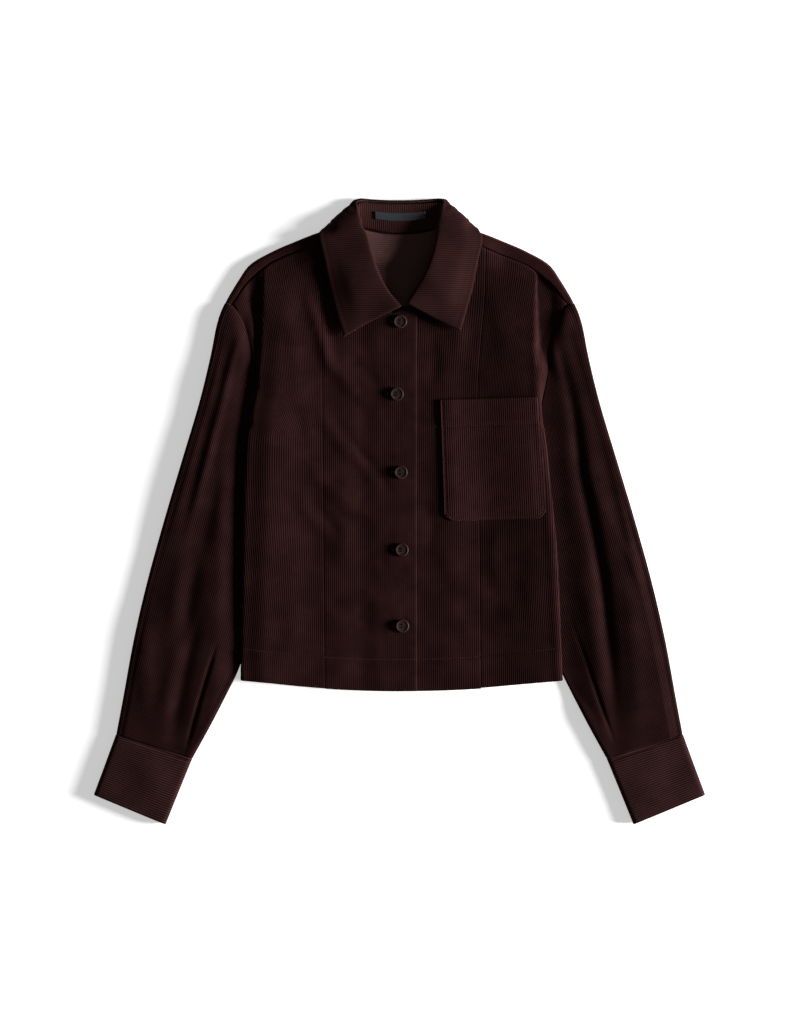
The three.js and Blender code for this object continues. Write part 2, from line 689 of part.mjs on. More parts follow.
// Collar stations from the left point round the neck to the right point
function collarStations() {
  const station = (row, s, footHeight) => {
    const flip = (place) => new THREE.Vector3(s * place[0], place[1], place[2] ?? 0);
    const foot = flip(row.foot);
    foot.z = footHeight ?? groundUnderCollar(foot.x, foot.y) - CLOTH / 2;
    const edge = flip(row.edge);
    edge.z = edgeHeightOf(edge, row.under);
    return { foot, top: flip(row.top), bend: flip(row.bend), edge, under: row.under };
  };
  const sideRows = (side) => [
    ...COLLAR[side].map((row) => station(row, sign(side))),
    ...COLLAR.turn.map((row, n) => station(row, sign(side), TURN_FOOT_HEIGHTS[n])),
  ];
  return [...sideRows('left'), station(COLLAR.middle, 1, BACK_FOOT_HEIGHT), ...sideRows('right').reverse()];
}

function edgeHeightOf(edge, under) {
  if (under === 1) return DOUBLED / 2;
  if (under > 0) return under < 0.5 ? TURN_EDGE_HEIGHTS[0] : TURN_EDGE_HEIGHTS[1];
  return groundUnderCollar(edge.x, edge.y) + LEAF_CLEARANCE + DOUBLED / 2;
}

// The leaf's path across: it rolls over from the stand's top, then runs through the bend to the edge
function leafPath(station) {
  const { foot, top, bend, edge, under } = station;
  const along = top.clone().sub(foot).normalize();
  const outer = bend.clone().sub(top);
  outer.addScaledVector(along, -outer.dot(along)).normalize();
  const radius = under === 1 ? Math.min(ROLL_RADIUS, (top.z - DOUBLED / 2) / 2) : ROLL_RADIUS;
  const rolled = (degrees) => {
    const angle = THREE.MathUtils.degToRad(degrees);
    const place = top.clone().addScaledVector(outer, radius * (1 - Math.cos(angle)));
    return place.addScaledVector(along, radius * Math.sin(angle));
  };
  const points = [top, rolled(50), rolled(95), rolled(140)];
  const flatBack = bend.z < 3.5;
  if (flatBack) {
    points.push(rolled(180));
  } else {
    points.push(bend);
    const beyond = bend.clone().lerp(edge, mix(0.5, 0.15, under));
    beyond.z = mix(edge.z, bend.z, mix(0.45, 0.06, under));
    points.push(beyond);
  }
  points.push(edge);
  return new THREE.CatmullRomCurve3(points, false, 'centripetal');
}

function standPath(station) {
  const { foot, top } = station;
  return new THREE.LineCurve3(foot, top);
}

// Smooth curves along the collar through like points of each station's path
const COLLAR_ALONG = 50;
const LEAF_SHARES = [0.014, 0.035, 0.07, 0.11, 0.19, 0.34, 0.54, 0.77, 1];
const STAND_SHARES = [0.04, 0.35, 0.68, 0.95];

function collarLines(pathOf, shares) {
  const paths = collarStations().map(pathOf);
  return shares.map((share) => {
    const points = paths.map((path) => path.getPointAt(share));
    return new THREE.CatmullRomCurve3(points, false, 'centripetal');
  });
}

function collarGrid(pathOf, shares, floorMid) {
  const lines = collarLines(pathOf, shares);
  const grid = [];
  for (let n = 0; n <= COLLAR_ALONG; n += 1) {
    const row = lines.map((line) => line.getPoint(n / COLLAR_ALONG));
    grid.push(row.map((place) => [place.x, place.y, Math.max(place.z, floorMid)]));
  }
  return grid;
}

function collarLeaf(name) {
  return wall(name, collarGrid(leafPath, LEAF_SHARES, DOUBLED / 2), DOUBLED, 'collar');
}

function collarStand(name) {
  return wall(name, collarGrid(standPath, STAND_SHARES, 0), CLOTH, 'collar');
}

// Bare label on the inside of the stand behind the neck, made from the stand's points, moved up
function neckLabel(name) {
  const lines = collarLines(standPath, [LABEL.low, LABEL.high]);
  const lift = CLOTH / 2 + LAID + SATIN / 2;
  const grid = [];
  for (let n = LABEL.first; n <= LABEL.last; n += 1) {
    const row = lines.map((line) => line.getPoint(n / COLLAR_ALONG));
    grid.push(row.map((place) => [place.x, place.y, place.z + lift]));
  }
  return wall(name, grid, SATIN, 'satin');
}

// Patch pocket: the front's points, moved out, inside an outline with two round lower corners
const POCKET_COLUMNS = 10;
const POCKET_ROWS = [0, 0.03, 0.09, 0.3, 0.55, 0.8, 1];

function pocket(name) {
  const { topInner, topOuter, bottomInner, bottomOuter, radius } = POCKET;
  const rows = POCKET_ROWS.map((up) => {
    const inner = [mix(bottomInner[0], topInner[0], up), mix(bottomInner[1], topInner[1], up)];
    const outer = [mix(bottomOuter[0], topOuter[0], up), mix(bottomOuter[1], topOuter[1], up)];
    const height = up * (topInner[1] - bottomInner[1]);
    const round = height < radius ? radius - Math.sqrt(radius ** 2 - (radius - height) ** 2) : 0;
    const points = [];
    for (let n = 0; n <= POCKET_COLUMNS; n += 1) {
      const t = n / POCKET_COLUMNS;
      const x = mix(inner[0] + round, outer[0] - round, t);
      const y = mix(inner[1], outer[1], t);
      points.push([x, y, frontHeight(x, y) + CLOTH + LAID]);
    }
    return points;
  });
  return wall(name, rows, CLOTH, 'corduroy');
}

// Four-hole button: a turned disc with a raised rim, the holes cut through
const BUTTON_SIDES = 18;

function manifoldOf(geometry) {
  const positions = geometry.getAttribute('position').array;
  const mesh = new wasm.Mesh({ numProp: 3, vertProperties: positions, triVerts: geometry.getIndex().array });
  mesh.merge();
  return new wasm.Manifold(mesh);
}

function turned(profile, sides) {
  const geometry = new THREE.LatheGeometry(profile.map(([r, z]) => new THREE.Vector2(r, z)), sides);
  geometry.rotateX(Math.PI / 2);
  return geometry;
}

function buttonSolid() {
  const radius = BUTTON.diameter / 2;
  const { thickness, rim, hole, holePitch } = BUTTON;
  const well = radius * 0.68;
  const profile = [
    [0, 0],
    [radius - 1, 0],
    [radius, 1],
    [radius, thickness - 0.8],
    [radius - 1, thickness],
    [well, thickness - rim],
    [0, thickness - rim],
  ];
  let solid = manifoldOf(turned(profile, BUTTON_SIDES));
  const drill = turned([[0, -1], [hole / 2, -1], [hole / 2, thickness + 1], [0, thickness + 1]], 6);
  for (const [i, j] of [[-1, -1], [1, -1], [1, 1], [-1, 1]]) {
    const placed = drill.clone().translate((i * holePitch) / 2, (j * holePitch) / 2, 0);
    solid = solid.subtract(manifoldOf(placed));
  }
  return solid.getMesh();
}

function buttons() {
  const { vertProperties, triVerts } = buttonSolid();
  return BUTTON_PLACES.map((place, n) => {
    const mesh = meshFrom(`button_${n + 1}`, new Float32Array(vertProperties), [...triVerts], 'horn');
    const surface = lapHeight(place.x, place.y) + CLOTH / 2;
    mesh.position.set(place.x, place.y, surface + SEAM);
    return mesh;
  });
}

const jacket = new THREE.Group();
jacket.name = 'corduroy_jacket';
jacket.add(
  backBody('back_body'),
  backYoke('back_yoke'),
  frontCentre('front_right_centre', 'left', LAP_EDGE_X, lapHeight),
  frontSide('front_right_side', 'left'),
  frontCentre('front_left_centre', 'right', UNDER_EDGE_X, frontHeight),
  frontSide('front_left_side', 'right'),
  collarStand('collar_stand'),
  collarLeaf('collar_leaf'),
  neckLabel('neck_label'),
  sleeve('sleeve_right', 'left'),
  sleeve('sleeve_left', 'right'),
  cuff('cuff_right', 'left'),
  cuff('cuff_left', 'right'),
  pocket('pocket'),
  ...buttons(),
);

export default jacket;
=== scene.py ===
"""Cropped corduroy jacket, laid flat on its back with the fronts up and seen from straight above.

Lengths are millimetres in this script and become metres when a mesh is made.
+X is the viewer's right, +Y is towards the collar, z = 0 is the floor.
"out" is the distance from the middle line, and "left" and "right" are the viewer's.
"""

import bpy
import numpy as np
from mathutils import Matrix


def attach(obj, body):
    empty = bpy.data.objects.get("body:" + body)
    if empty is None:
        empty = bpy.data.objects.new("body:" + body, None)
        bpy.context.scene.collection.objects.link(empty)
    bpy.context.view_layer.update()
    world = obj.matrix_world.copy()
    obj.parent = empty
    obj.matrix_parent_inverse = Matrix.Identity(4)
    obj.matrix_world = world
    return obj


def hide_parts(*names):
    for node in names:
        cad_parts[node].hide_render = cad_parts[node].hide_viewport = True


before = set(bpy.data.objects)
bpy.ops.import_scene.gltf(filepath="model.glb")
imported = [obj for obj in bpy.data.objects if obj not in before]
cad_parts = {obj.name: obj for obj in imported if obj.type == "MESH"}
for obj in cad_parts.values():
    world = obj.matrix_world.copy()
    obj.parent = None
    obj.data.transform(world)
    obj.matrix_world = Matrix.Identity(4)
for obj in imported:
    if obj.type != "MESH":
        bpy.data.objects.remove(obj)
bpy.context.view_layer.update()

MM = 0.001

# Cloth: thickness of its layers, and the wales, ten to the inch
CLOTH = 1.6
DOUBLED = 2.4
SATIN = 1.0
# A cloth's edge keeps this share of its thickness, and a wale's round top is a sine to this power
EDGE_TAPER = 0.55
WALE_POWER = 0.7
SEAM = 0.1
UNDER_BUTTON = 0.3
LAID = 0.45
WALE = 2.5
WALE_DEPTH = 0.62
STEPS = 4

# Heights of the middle of each layer above the floor
BACK_MID = 0.8
FRONT_MID = 3.0
SLEEVE_PRESSED = 3.4
OVER_SLEEVE = 5.3
LAP_STEP = 1.9
SHOULDER_TOP = 6.2
COLLAR_LIFT = 3.3
SLEEVE_PUFF = 5.2
CUFF_TOP = 7.4
LEAF_CLEARANCE = 0.9
# Further lift of the leaf's edge on each side, and of the right side's roll and bend
LEAF_LIFT = {-1: 2.2, 1: 0.4}
ROLL_RAISE = 2.2
BEND_RAISE = 1.6
# Share of the wale's depth that each cloth's mesh carries
BODY_RELIEF = 0.36
SLEEVE_RELIEF = 0.34
CUFF_RELIEF = 0.2
YOKE_RELIEF = 0.75
STAND_RELIEF = 0.6
LEAF_RELIEF = 0.12

# Plan sizes
PANEL_OUT = 93
SIDE_TOP_Y = 246.6
YOKE_GAP = 0.4
RISE_WIDTH = 94
FOLD_INSET = 5.5
BACK_SEAM_Y = 215
ARMPIT_Y = 94
NECK_HALF = 57.6
NECK_BACK_Y = 332
NECK_SIDE_Y = 344
LAP_EDGE_X = 21
UNDER_EDGE_X = -17
HEM_SIDE_Y = -203
HEM_DIP = 14
HEM_HALF = 190
HEM_DEPTH = 38
# Depth of the trough beside the body, crest of the right ridge, rounding of the left one, and swell by side
SIDE_TROUGH = 6.8
RIDGE_CREST = 0.8
RIDGE_ROUND = 2.2
FRONT_SWELL = (2.4, 1.2)


def table(columns, *rows):
    """Named columns of a table, sorted by its first column, which is the key."""
    names = columns.split()
    values = np.array(sorted(rows), float).T
    return {"key": values[0], **dict(zip(names, values))}


# Side fold of the body, its outermost line, from the shoulder to the hem
FOLD = table(
    "y left right",
    (290, 165, 168), (205, 170, 169), (133, 177, 170), (73, 183, 176),
    (13, 186, 182), (-59, 188, 189), (-203, 191, 196),
)
# Height of the front's middle layer along that fold
RIDGE = table(
    "y height",
    (300, 6.2), (262, 7.3), (205, 9.9), (133, 11.3), (73, 11.8), (-59, 11.3), (-203, 8.8),
)
# Where the front side piece ends: the armhole down to the armpit, then the side seam
SIDE_EDGE = table(
    "y left right",
    (247, 201.5, 201.5), (240, 195.5, 195.5), (229, 188.5, 188.5), (208, 181.5, 181.5),
    (196, 179, 179), (157, 176, 175), (140, 173, 172), (122, 168, 167), (108, 160, 159),
    (94, 148, 148), (60, 150, 150), (13, 155, 155), (-47, 164, 165), (-107, 173, 175),
    (-155, 180, 184), (-203, 186, 191),
)
# Seam between the centre and side pieces of each front
PANEL_SEAM = table(
    "y left right",
    (321, 100, 104), (265, 96, 103), (205, 93, 98), (139, 92.5, 94), (-35, 91, 96.5), (-215, 89.5, 98),
)
# Fold of the shoulder, the outline from the neck to the armhole
SHOULDER = table(
    "out y",
    (57.6, 347), (80, 339.5), (105, 331), (128, 322), (150, 312.5), (180, 295), (193, 277),
    (204, 259), (209.5, 249.5),
)
# Seam of the yoke on the fronts
YOKE_SEAM = table(
    "out left right",
    (57.6, 336, 334), (101, 320, 316), (127, 310.5, 305), (152, 299.5, 295), (171, 286, 282),
    (187, 270, 268), (201.5, 247, 247),
)
# Neck seam on the fronts, from the shoulder to the centre: out and y for each side
NECK_SEAM = {
    -1: [(57.6, 336), (57, 318), (52, 292), (40, 264), (22, 246), (8, 240.5)],
    1: [(57.6, 334), (57.6, 316), (54.8, 291.5), (45.8, 264.5), (31, 247.5), (18.5, 243)],
}
NECK_TOP_Y = {-1: 245, 1: 243}

# Sleeve: outline, hidden inner fold, and the armhole seam on the front and on the back
SLEEVE_OUTER = [
    (209.7, 249.5), (214.5, 239), (219.5, 222.8), (226.5, 186.8), (239.5, 132.8), (261, 60.8),
    (282.5, -11.2), (302.5, -83.2), (319.2, -155.2), (332.4, -227.2), (340.2, -268.8),
]
SLEEVE_INNER = [
    (148, 94), (146, 60), (147, 20), (155, -47), (167, -107), (181, -155), (193.5, -191),
    (208, -221), (226, -256), (248.8, -297.5),
]
ARMHOLE_FRONT = [
    (209.7, 249.5), (201.5, 246.5), (189, 229), (182, 208), (179, 190), (176, 157), (168, 122), (148, 94),
]
ARMHOLE_BACK = [(209.7, 249.5), (197, 215), (183, 180), (169, 145), (156, 112), (148, 94)]
OUTER_BY_Y = table("y out", *[(y, out) for out, y in SLEEVE_OUTER])
INNER_BY_Y = table("y out", *[(y, out) for out, y in SLEEVE_INNER])
BACK_ARMHOLE_BY_Y = table("y out", *[(y, out) for out, y in ARMHOLE_BACK])

# Long hollow of each sleeve's upper side, from the armhole to the cuff
SLEEVE_HOLLOW = table(
    "y left right depth",
    (200, 196, 192, 0.3), (137, 206, 205, 1), (43, 222, 218, 1.3), (-88, 250, 245, 1.3),
    (-219, 262, 257, 1.2), (-285, 266, 260, 1),
)
HOLLOW_WIDTH = 15

CUFF = {
    "outerTop": (340.9, -269.2), "innerTop": (248.9, -297.9),
    "outerEnd": (367.4, -341), "innerEnd": (280.9, -376.8),
}

# Collar, one row for each line across it: foot x y, top x y z, bend x y z, edge x y, under
# under = 1 where the leaf has folded behind the neck and lies on the floor
COLLAR = {
    -1: [
        (8, 241.5, -0.4, 245, 8.6, 38, 225, 9.6, 66.6, 208.8, 0),
        (21.5, 247.5, 13.3, 260.5, 10.5, 50, 246, 11.6, 76.2, 238.4, 0),
        (39.5, 265, 25.4, 282.4, 13, 59, 273, 13.6, 84, 269.6, 0),
        (51.3, 292.5, 34.4, 308, 14.5, 67, 303, 15.4, 90.6, 302, 0),
        (56, 318, 41, 329, 14.5, 73, 331, 16.2, 96.5, 330, 0),
    ],
    1: [
        (20, 247.6, 10.5, 250, 8.6, 47, 228, 8.6, 73.4, 215.6, 0),
        (30.5, 249, 19.9, 263.4, 10, 55, 249, 11.6, 80.4, 240, 0),
        (45, 265.5, 30.2, 280.6, 13, 63, 272, 13.6, 88, 268, 0),
        (54, 292, 39.4, 304, 14.5, 71, 299, 15.4, 94, 299, 0),
        (56.3, 316, 45, 326, 14.5, 77, 328, 16.2, 99, 328, 0),
    ],
}
COLLAR_TURN = [
    (56, 333, 46, 338, 13.6, 75, 338.5, 15.4, 95.2, 335, 0.3),
    (56.3, 339, 47.3, 344, 12.8, 79, 343.6, 13, 92.4, 338, 0.6),
    (56.2, 343.5, 48.5, 349, 12, 80.2, 347.8, 9.4, 86, 335, 1),
    (55.3, 345.5, 49.5, 355, 10.6, 74, 353, 7.4, 77.5, 330, 1),
    (54, 346.8, 50, 360.5, 9, 66.6, 359.7, 6.2, 67, 325.5, 1),
    (50, 344, 50.8, 368.4, 7.4, 58, 369.2, 5, 57, 322.5, 1),
    (46, 340.2, 46.5, 371.4, 6.4, 49.5, 375.2, 3.9, 46, 320.5, 1),
    (32, 336.6, 33, 370.9, 5.6, 33.5, 374.6, 3.3, 33, 319.5, 1),
    (16, 333.6, 17, 370.2, 5.3, 17, 374, 3.2, 17, 319, 1),
]
COLLAR_MIDDLE = (0, 332.4, 0, 370, 5.3, 0, 373.8, 3.2, 0, 319, 1)
# Ends of the leaf's straight outline beside the neck
LEAF_OUTLINE = {-1: [(-53, 375.2), (-94.4, 337.6)], 1: [(54.2, 376.1), (96, 338)]}
TURN_FOOT_HEIGHTS = [9.3, 9, 8, 7, 5.8, 4.6, 4.3, 4.1, 4.1]
TURN_EDGE_HEIGHTS = [10.5, 5.5] + 7 * [DOUBLED / 2]
BACK_FOOT_HEIGHT = 4.1
ROLL_RADIUS = 2.4

BUTTON_THICKNESS = 3
BUTTON_RIM = 0.7
HOLE_PITCH = 3.4
BUTTON_PLACES = [(1, 227), (-3, 140), (1.8, 46), (3, -47), (3.5, -138.4)]

POCKET = {
    "topInner": (48.6, 133), "topOuter": (168.5, 136.5),
    "bottomInner": (53.5, -12.5), "bottomOuter": (176, -9), "radius": 13,
}
POCKET_BAND = 32
POCKET_STITCH = 2.6
LABEL_ALONG = (21.75, 28.45)
LABEL_ACROSS = (0.41, 0.67)
COLLAR_ALONG = 50

# Soft creases of the fronts: path in x and y, width, and height, which is below zero for a trough
FRONT_CREASES = [
    ([(-118, 262), (-104, 240), (-92, 206), (-84, 160)], 7, 2.3),
    ([(-104, 205), (-80, 172), (-54, 142), (-28, 120)], 8, 1.7),
    ([(-64, 192), (-40, 162), (-14, 138)], 8, -1.3),
    ([(-134, 160), (-112, 120), (-100, 70)], 9, 0.9),
    ([(-103, 266), (-86, 232), (-76, 196)], 8, -1.0),
    ([(-140, 250), (-128, 210), (-120, 160)], 10, 0.8),
    ([(-112, 130), (-76, 92), (-40, 52), (-14, 30)], 9, 1.8),
    ([(-88, 114), (-46, 66), (-2, 18)], 7, -1.8),
    ([(-125, 68), (-92, 34), (-52, 0), (-8, -18)], 9, 1.6),
    ([(-118, 22), (-92, -6), (-66, -38)], 8, -1.7),
    ([(-124, 18), (-86, -26), (-47, -71)], 13, 1.2),
    ([(-150, 40), (-112, -18), (-70, -60)], 12, -0.7),
    ([(-62, -84), (-24, -112), (8, -128)], 10, 1.0),
    ([(-96, -96), (-58, -128), (-20, -140)], 9, -0.8),
    ([(-140, -80), (-128, -130), (-132, -180)], 12, 0.7),
    ([(-52, 200), (-44, 160), (-30, 130)], 9, 0.8),
    ([(60, 262), (72, 222), (70, 178)], 10, 0.9),
    ([(104, 268), (122, 228), (132, 180)], 12, 0.9),
    ([(36, 214), (44, 180), (38, 146)], 8, -0.8),
    ([(28, 20), (40, -14), (34, -60)], 9, -0.8),
    ([(40, -40), (72, -82), (118, -100)], 13, 1.1),
    ([(60, -110), (96, -128), (140, -124)], 11, -0.9),
    ([(150, -30), (140, -90), (150, -150)], 13, -0.7),
    ([(120, -20), (112, -60), (124, -96)], 10, 0.8),
]
# Short puckers of the button edge by each button: x from and to, drop, width and height
PUCKERS = [
    (-34, 17, 3, 4.2, -0.75), (-22, 18, -11, 4.5, 0.6), (-30, 15, -20, 4.5, -0.55), (-12, 18, 14, 4, 0.5),
]


def ease(value):
    """t * t * (3 - 2 t), with t held between 0 and 1."""
    t = np.clip(value, 0, 1)
    return t * t * (3 - 2 * t)


def mix(a, b, t):
    return a + (b - a) * t


def bell(distance, width):
    """exp(-(distance / width)^2)."""
    return np.exp(-((distance / width) ** 2))


def read(rows, at, column):
    """A column of a table at any key: cubic pieces whose end slopes are harmonic means, without overshoot."""
    keys, values = rows["key"], rows[column]
    at = np.clip(at, keys[0], keys[-1])
    spans = np.diff(keys)
    rises = np.diff(values)
    slopes = rises / spans
    before, after = slopes[:-1], slopes[1:]
    total = before + after
    same_way = before * after > 0
    inner = np.where(same_way, 2 * before * after / np.where(same_way, total, 1), 0)
    tangents = np.concatenate([slopes[:1], inner, slopes[-1:]])
    row = np.clip(np.searchsorted(keys, at) - 1, 0, len(spans) - 1)
    t = (at - keys[row]) / spans[row]
    start = tangents[row] * spans[row] * t * (1 - t) ** 2
    end = tangents[row + 1] * spans[row] * t * t * (t - 1)
    return values[row] + rises[row] * t * t * (3 - 2 * t) + start + end


def sided(rows, at, x):
    """The left column where x is below zero, and the right column elsewhere."""
    return np.where(np.asarray(x) < 0, read(rows, at, "left"), read(rows, at, "right"))


def side_name(s):
    return "left" if s < 0 else "right"


def spline(points, u):
    """Centripetal Catmull-Rom curve through points, at u from 0 to the last point's number.

    points is (count, ..., 3), so many curves run side by side. Each knot gap is the root of the distance."""
    points = np.asarray(points, float)
    first = 2 * points[:1] - points[1:2]
    last = 2 * points[-1:] - points[-2:-1]
    padded = np.concatenate([first, points, last])
    row = np.clip(np.floor(u).astype(int), 0, len(points) - 2)
    shape = (-1,) + (1,) * (points.ndim - 1)
    t = (np.asarray(u) - row).reshape(shape)
    p0, p1, p2, p3 = padded[row], padded[row + 1], padded[row + 2], padded[row + 3]
    gap = lambda a, b: np.maximum(np.sqrt(np.linalg.norm(b - a, axis=-1, keepdims=True)), 1e-4)
    d0, d1, d2 = gap(p0, p1), gap(p1, p2), gap(p2, p3)
    m1 = ((p1 - p0) / d0 - (p2 - p0) / (d0 + d1) + (p2 - p1) / d1) * d1
    m2 = ((p2 - p1) / d1 - (p3 - p1) / (d1 + d2) + (p3 - p2) / d2) * d1
    cube = 2 * p1 - 2 * p2 + m1 + m2
    square = -3 * p1 + 3 * p2 - 2 * m1 - m2
    return p1 + m1 * t + square * t * t + cube * t ** 3


def chain_lengths(chain):
    """Length of a chain of places from its start to each of them."""
    return np.concatenate([[0], np.cumsum(np.linalg.norm(np.diff(chain, axis=0), axis=1))])


def on_chain(chain, at):
    """Places of a chain at lengths along it."""
    lengths = chain_lengths(chain)
    return np.stack([np.interp(at, lengths, column) for column in chain.T], -1)


def along(points, shares):
    """The spline through points at shares of its length, from a fine chain of 40 points a span."""
    last = len(points) - 1
    fine = spline(points, np.linspace(0, last, 40 * last + 1))
    return on_chain(fine, np.asarray(shares, float) * chain_lengths(fine)[-1])


def closed_up(rows, closed):
    return np.concatenate([rows, rows[:, :1]], 1) if closed else rows


def even(rows, count, closed=False):
    """Each row of places taken again at count even steps of its own length."""
    result = []
    for row in closed_up(rows, closed):
        at = np.linspace(0, chain_lengths(row)[-1], count + 1)
        result.append(on_chain(row, at[:-1] if closed else at))
    return np.array(result)


def mean_length(rows, closed=False):
    return np.linalg.norm(np.diff(closed_up(rows, closed), axis=1), axis=2).sum(1).mean()


def wale_steps(length):
    """Grid steps for a length across the wales: four to each whole wale."""
    return int(round(length / WALE)) * STEPS


def crease_height(x, y, creases):
    """Sum of height * bell(distance, width) over each crease's path, which fades out towards its ends."""
    total = np.zeros(np.broadcast(x, y).shape)
    for path, width, height in creases:
        path = np.array(path, float)
        spans = len(path) - 1
        nearest = np.full(total.shape, 1e9)
        place = np.zeros(total.shape)
        for n in range(spans):
            run = path[n + 1] - path[n]
            share = ((x - path[n, 0]) * run[0] + (y - path[n, 1]) * run[1]) / (run @ run)
            share = np.clip(share, 0, 1)
            distance = np.hypot(x - path[n, 0] - share * run[0], y - path[n, 1] - share * run[1])
            closer = distance < nearest
            nearest = np.where(closer, distance, nearest)
            place = np.where(closer, (n + share) / spans, place)
        fade = ease(place / 0.3) * ease((1 - place) / 0.3)
        total += height * fade * bell(nearest, width)
    return total


def collar_lift(x, y):
    """Lift of the yoke where the turned-down collar lies beneath it."""
    return COLLAR_LIFT * ease((y - 294) / 15) * ease((128 - np.abs(x)) / 30)


def front_height(x, y):
    """Low down the middle, a little higher beside the buttons, eased up to the ridge of the side fold and
    up to the fold of the shoulder."""
    out = np.abs(x)
    on_left = np.asarray(x) < 0
    ridge_line = sided(FOLD, y, x) - FOLD_INSET
    past = out - ridge_line
    rise = ease((out - (ridge_line - RISE_WIDTH)) / RISE_WIDTH)
    shoulder = ease((y - (read(SHOULDER, out, "y") - 62)) / 50)
    swell = np.where(on_left, *FRONT_SWELL) * ease((out - 24) / 46)
    swell = swell * ease((ridge_line - out) / 120) * ease((250 - y) / 60)
    crest = np.where(on_left, -RIDGE_ROUND * ease((past + 24) / 24), RIDGE_CREST * bell(past, 6))
    crest = crest * ease((255 - y) / 40)
    ridge = FRONT_MID + (read(RIDGE, y, "height") - FRONT_MID) * rise + swell + crest
    return mix(ridge, SHOULDER_TOP, shoulder) + collar_lift(x, y + 9)


def puckers():
    """Creases of the button edge: they pull a little towards each button, not all alike."""
    found = []
    for number, (_, y) in enumerate(BUTTON_PLACES[1:]):
        for turn, (start, end, drop, width, height) in enumerate(PUCKERS):
            lean = 3 * np.sin(1.7 * number + 2.3 * turn)
            size = height * (1 + 0.4 * np.sin(2.9 * number + turn))
            found.append(([(start, y + drop + lean), (end, y + drop - lean)], width, size))
    return found


def creased_front(x, y):
    """The front with its creases, which die out beside the collar."""
    keep_off_collar = 1 - ease((y - 235) / 25) * ease((112 - np.abs(x)) / 18)
    return front_height(x, y) + crease_height(x, y, FRONT_CREASES) * keep_off_collar


def lap_height(x, y):
    """The front that laps over steps up where the other front lies beneath it."""
    step = LAP_STEP * ease((x - (UNDER_EDGE_X - 32)) / 26)
    return creased_front(x, y) + crease_height(x, y, puckers()) + step


def sleeve_lift(x, y):
    """Lift of the body's under layer over the sleeve's inner fold."""
    inner = read(INNER_BY_Y, y, "out")
    across = ease((np.abs(x) - (inner - 16)) / 10)
    above = ease((ARMPIT_Y + 11 - y) / 9)
    return (OVER_SLEEVE - BACK_MID) * across * above


def hem_y(x):
    return HEM_SIDE_Y - HEM_DIP * (1 - np.minimum(1, (x / HEM_HALF) ** 2))


def cell_corners(shape, wrap, keep):
    """Corner rows and columns of each kept cell of a grid, four to a cell."""
    rows, columns = shape
    last = columns if wrap else columns - 1
    i, j = (part.ravel() for part in np.meshgrid(np.arange(rows - 1), np.arange(last), indexing="ij"))
    if keep is not None:
        kept = keep(i, j)
        i, j = i[kept], j[kept]
    return np.stack([i, i, i + 1, i + 1], 1), np.stack([j, j + 1, j + 1, j], 1)


def shell(name, grid, thickness, cloth, materials, wrap=False, keep=None, flip=False, relief=(1, 0)):
    """A closed wall of cloth about a grid of middle points.

    Each skin is the middle point + normal * (thickness / 2 + relief). The relief over a wale of
    phase p is WALE_DEPTH * (|sin(pi p)| ^ WALE_POWER - 0.5). cloth = (u, v) is each point's place in the
    flat cloth in millimetres, u across the wales. Places that coincide are welded, and the edge thins."""
    rows, columns = grid.shape[:2]
    corner_rows, corner_columns = cell_corners((rows, columns), wrap, keep)
    if flip:
        corner_rows, corner_columns = corner_rows[:, ::-1], corner_columns[:, ::-1]
    u, v = (np.broadcast_to(part, (rows, columns + wrap)) for part in cloth)
    corner_uv = np.stack([u[corner_rows, corner_columns], v[corner_rows, corner_columns]], -1) * MM
    ids = corner_rows * columns + corner_columns % columns
    flat = grid.reshape(-1, 3)
    _, first, back = np.unique(np.round(flat, 3), axis=0, return_index=True, return_inverse=True)
    ids = back.ravel()[ids]
    used, ids_flat = np.unique(ids, return_inverse=True)
    ids = ids_flat.reshape(ids.shape)
    middle = flat[first][used]
    phase = (u[:, :columns].reshape(-1)[first][used] / WALE)
    wave = WALE_DEPTH * (np.abs(np.sin(np.pi * phase)) ** WALE_POWER - 0.5)

    normal = np.cross(middle[ids[:, 2]] - middle[ids[:, 0]], middle[ids[:, 3]] - middle[ids[:, 1]])
    sums = np.stack([np.bincount(ids.ravel(), np.repeat(normal[:, k], 4), len(middle)) for k in range(3)], -1)
    sums /= np.maximum(np.linalg.norm(sums, axis=1, keepdims=True), 1e-9)

    differs = ids != np.roll(ids, -1, axis=1)
    four = differs.sum(1) == 4
    three = differs.sum(1) == 3
    faces = [ids[four], ids[three][differs[three]].reshape(-1, 3)]
    face_uv = [corner_uv[four], corner_uv[three][differs[three]].reshape(-1, 3, 2)]
    count = len(middle)
    starts = np.concatenate([part.ravel() for part in faces])
    ends = np.concatenate([np.roll(part, -1, axis=1).ravel() for part in faces])
    uv_ends = np.concatenate([np.roll(part, -1, axis=1).reshape(-1, 2) for part in face_uv])
    uv_starts = np.concatenate([part.reshape(-1, 2) for part in face_uv])
    rim = ~np.isin(starts * count + ends, ends * count + starts)
    edge_points = np.unique(np.concatenate([starts[rim], ends[rim]]))
    taper = np.ones(count)
    taper[edge_points] = EDGE_TAPER
    half = (0.5 * thickness * taper)[:, None]
    outer = middle + sums * (half + (wave * relief[0] * taper)[:, None])
    inner = middle - sums * (half + (wave * relief[1] * taper)[:, None])
    places = np.concatenate([outer, inner])
    places[:, 2] = np.maximum(places[:, 2], 0)

    polygons = [(faces[0], face_uv[0], 0), (faces[1], face_uv[1], 0)]
    polygons += [(part[:, ::-1] + count, uv[:, ::-1], 1) for part, uv, _ in polygons[:2]]
    a, b = starts[rim], ends[rim]
    rim_faces = np.stack([b, a, a + count, b + count], 1)
    rim_uv = np.stack([uv_ends[rim], uv_starts[rim], uv_starts[rim], uv_ends[rim]], 1)
    polygons.append((rim_faces, rim_uv, 0))
    return mesh_object(name, places, polygons, materials)


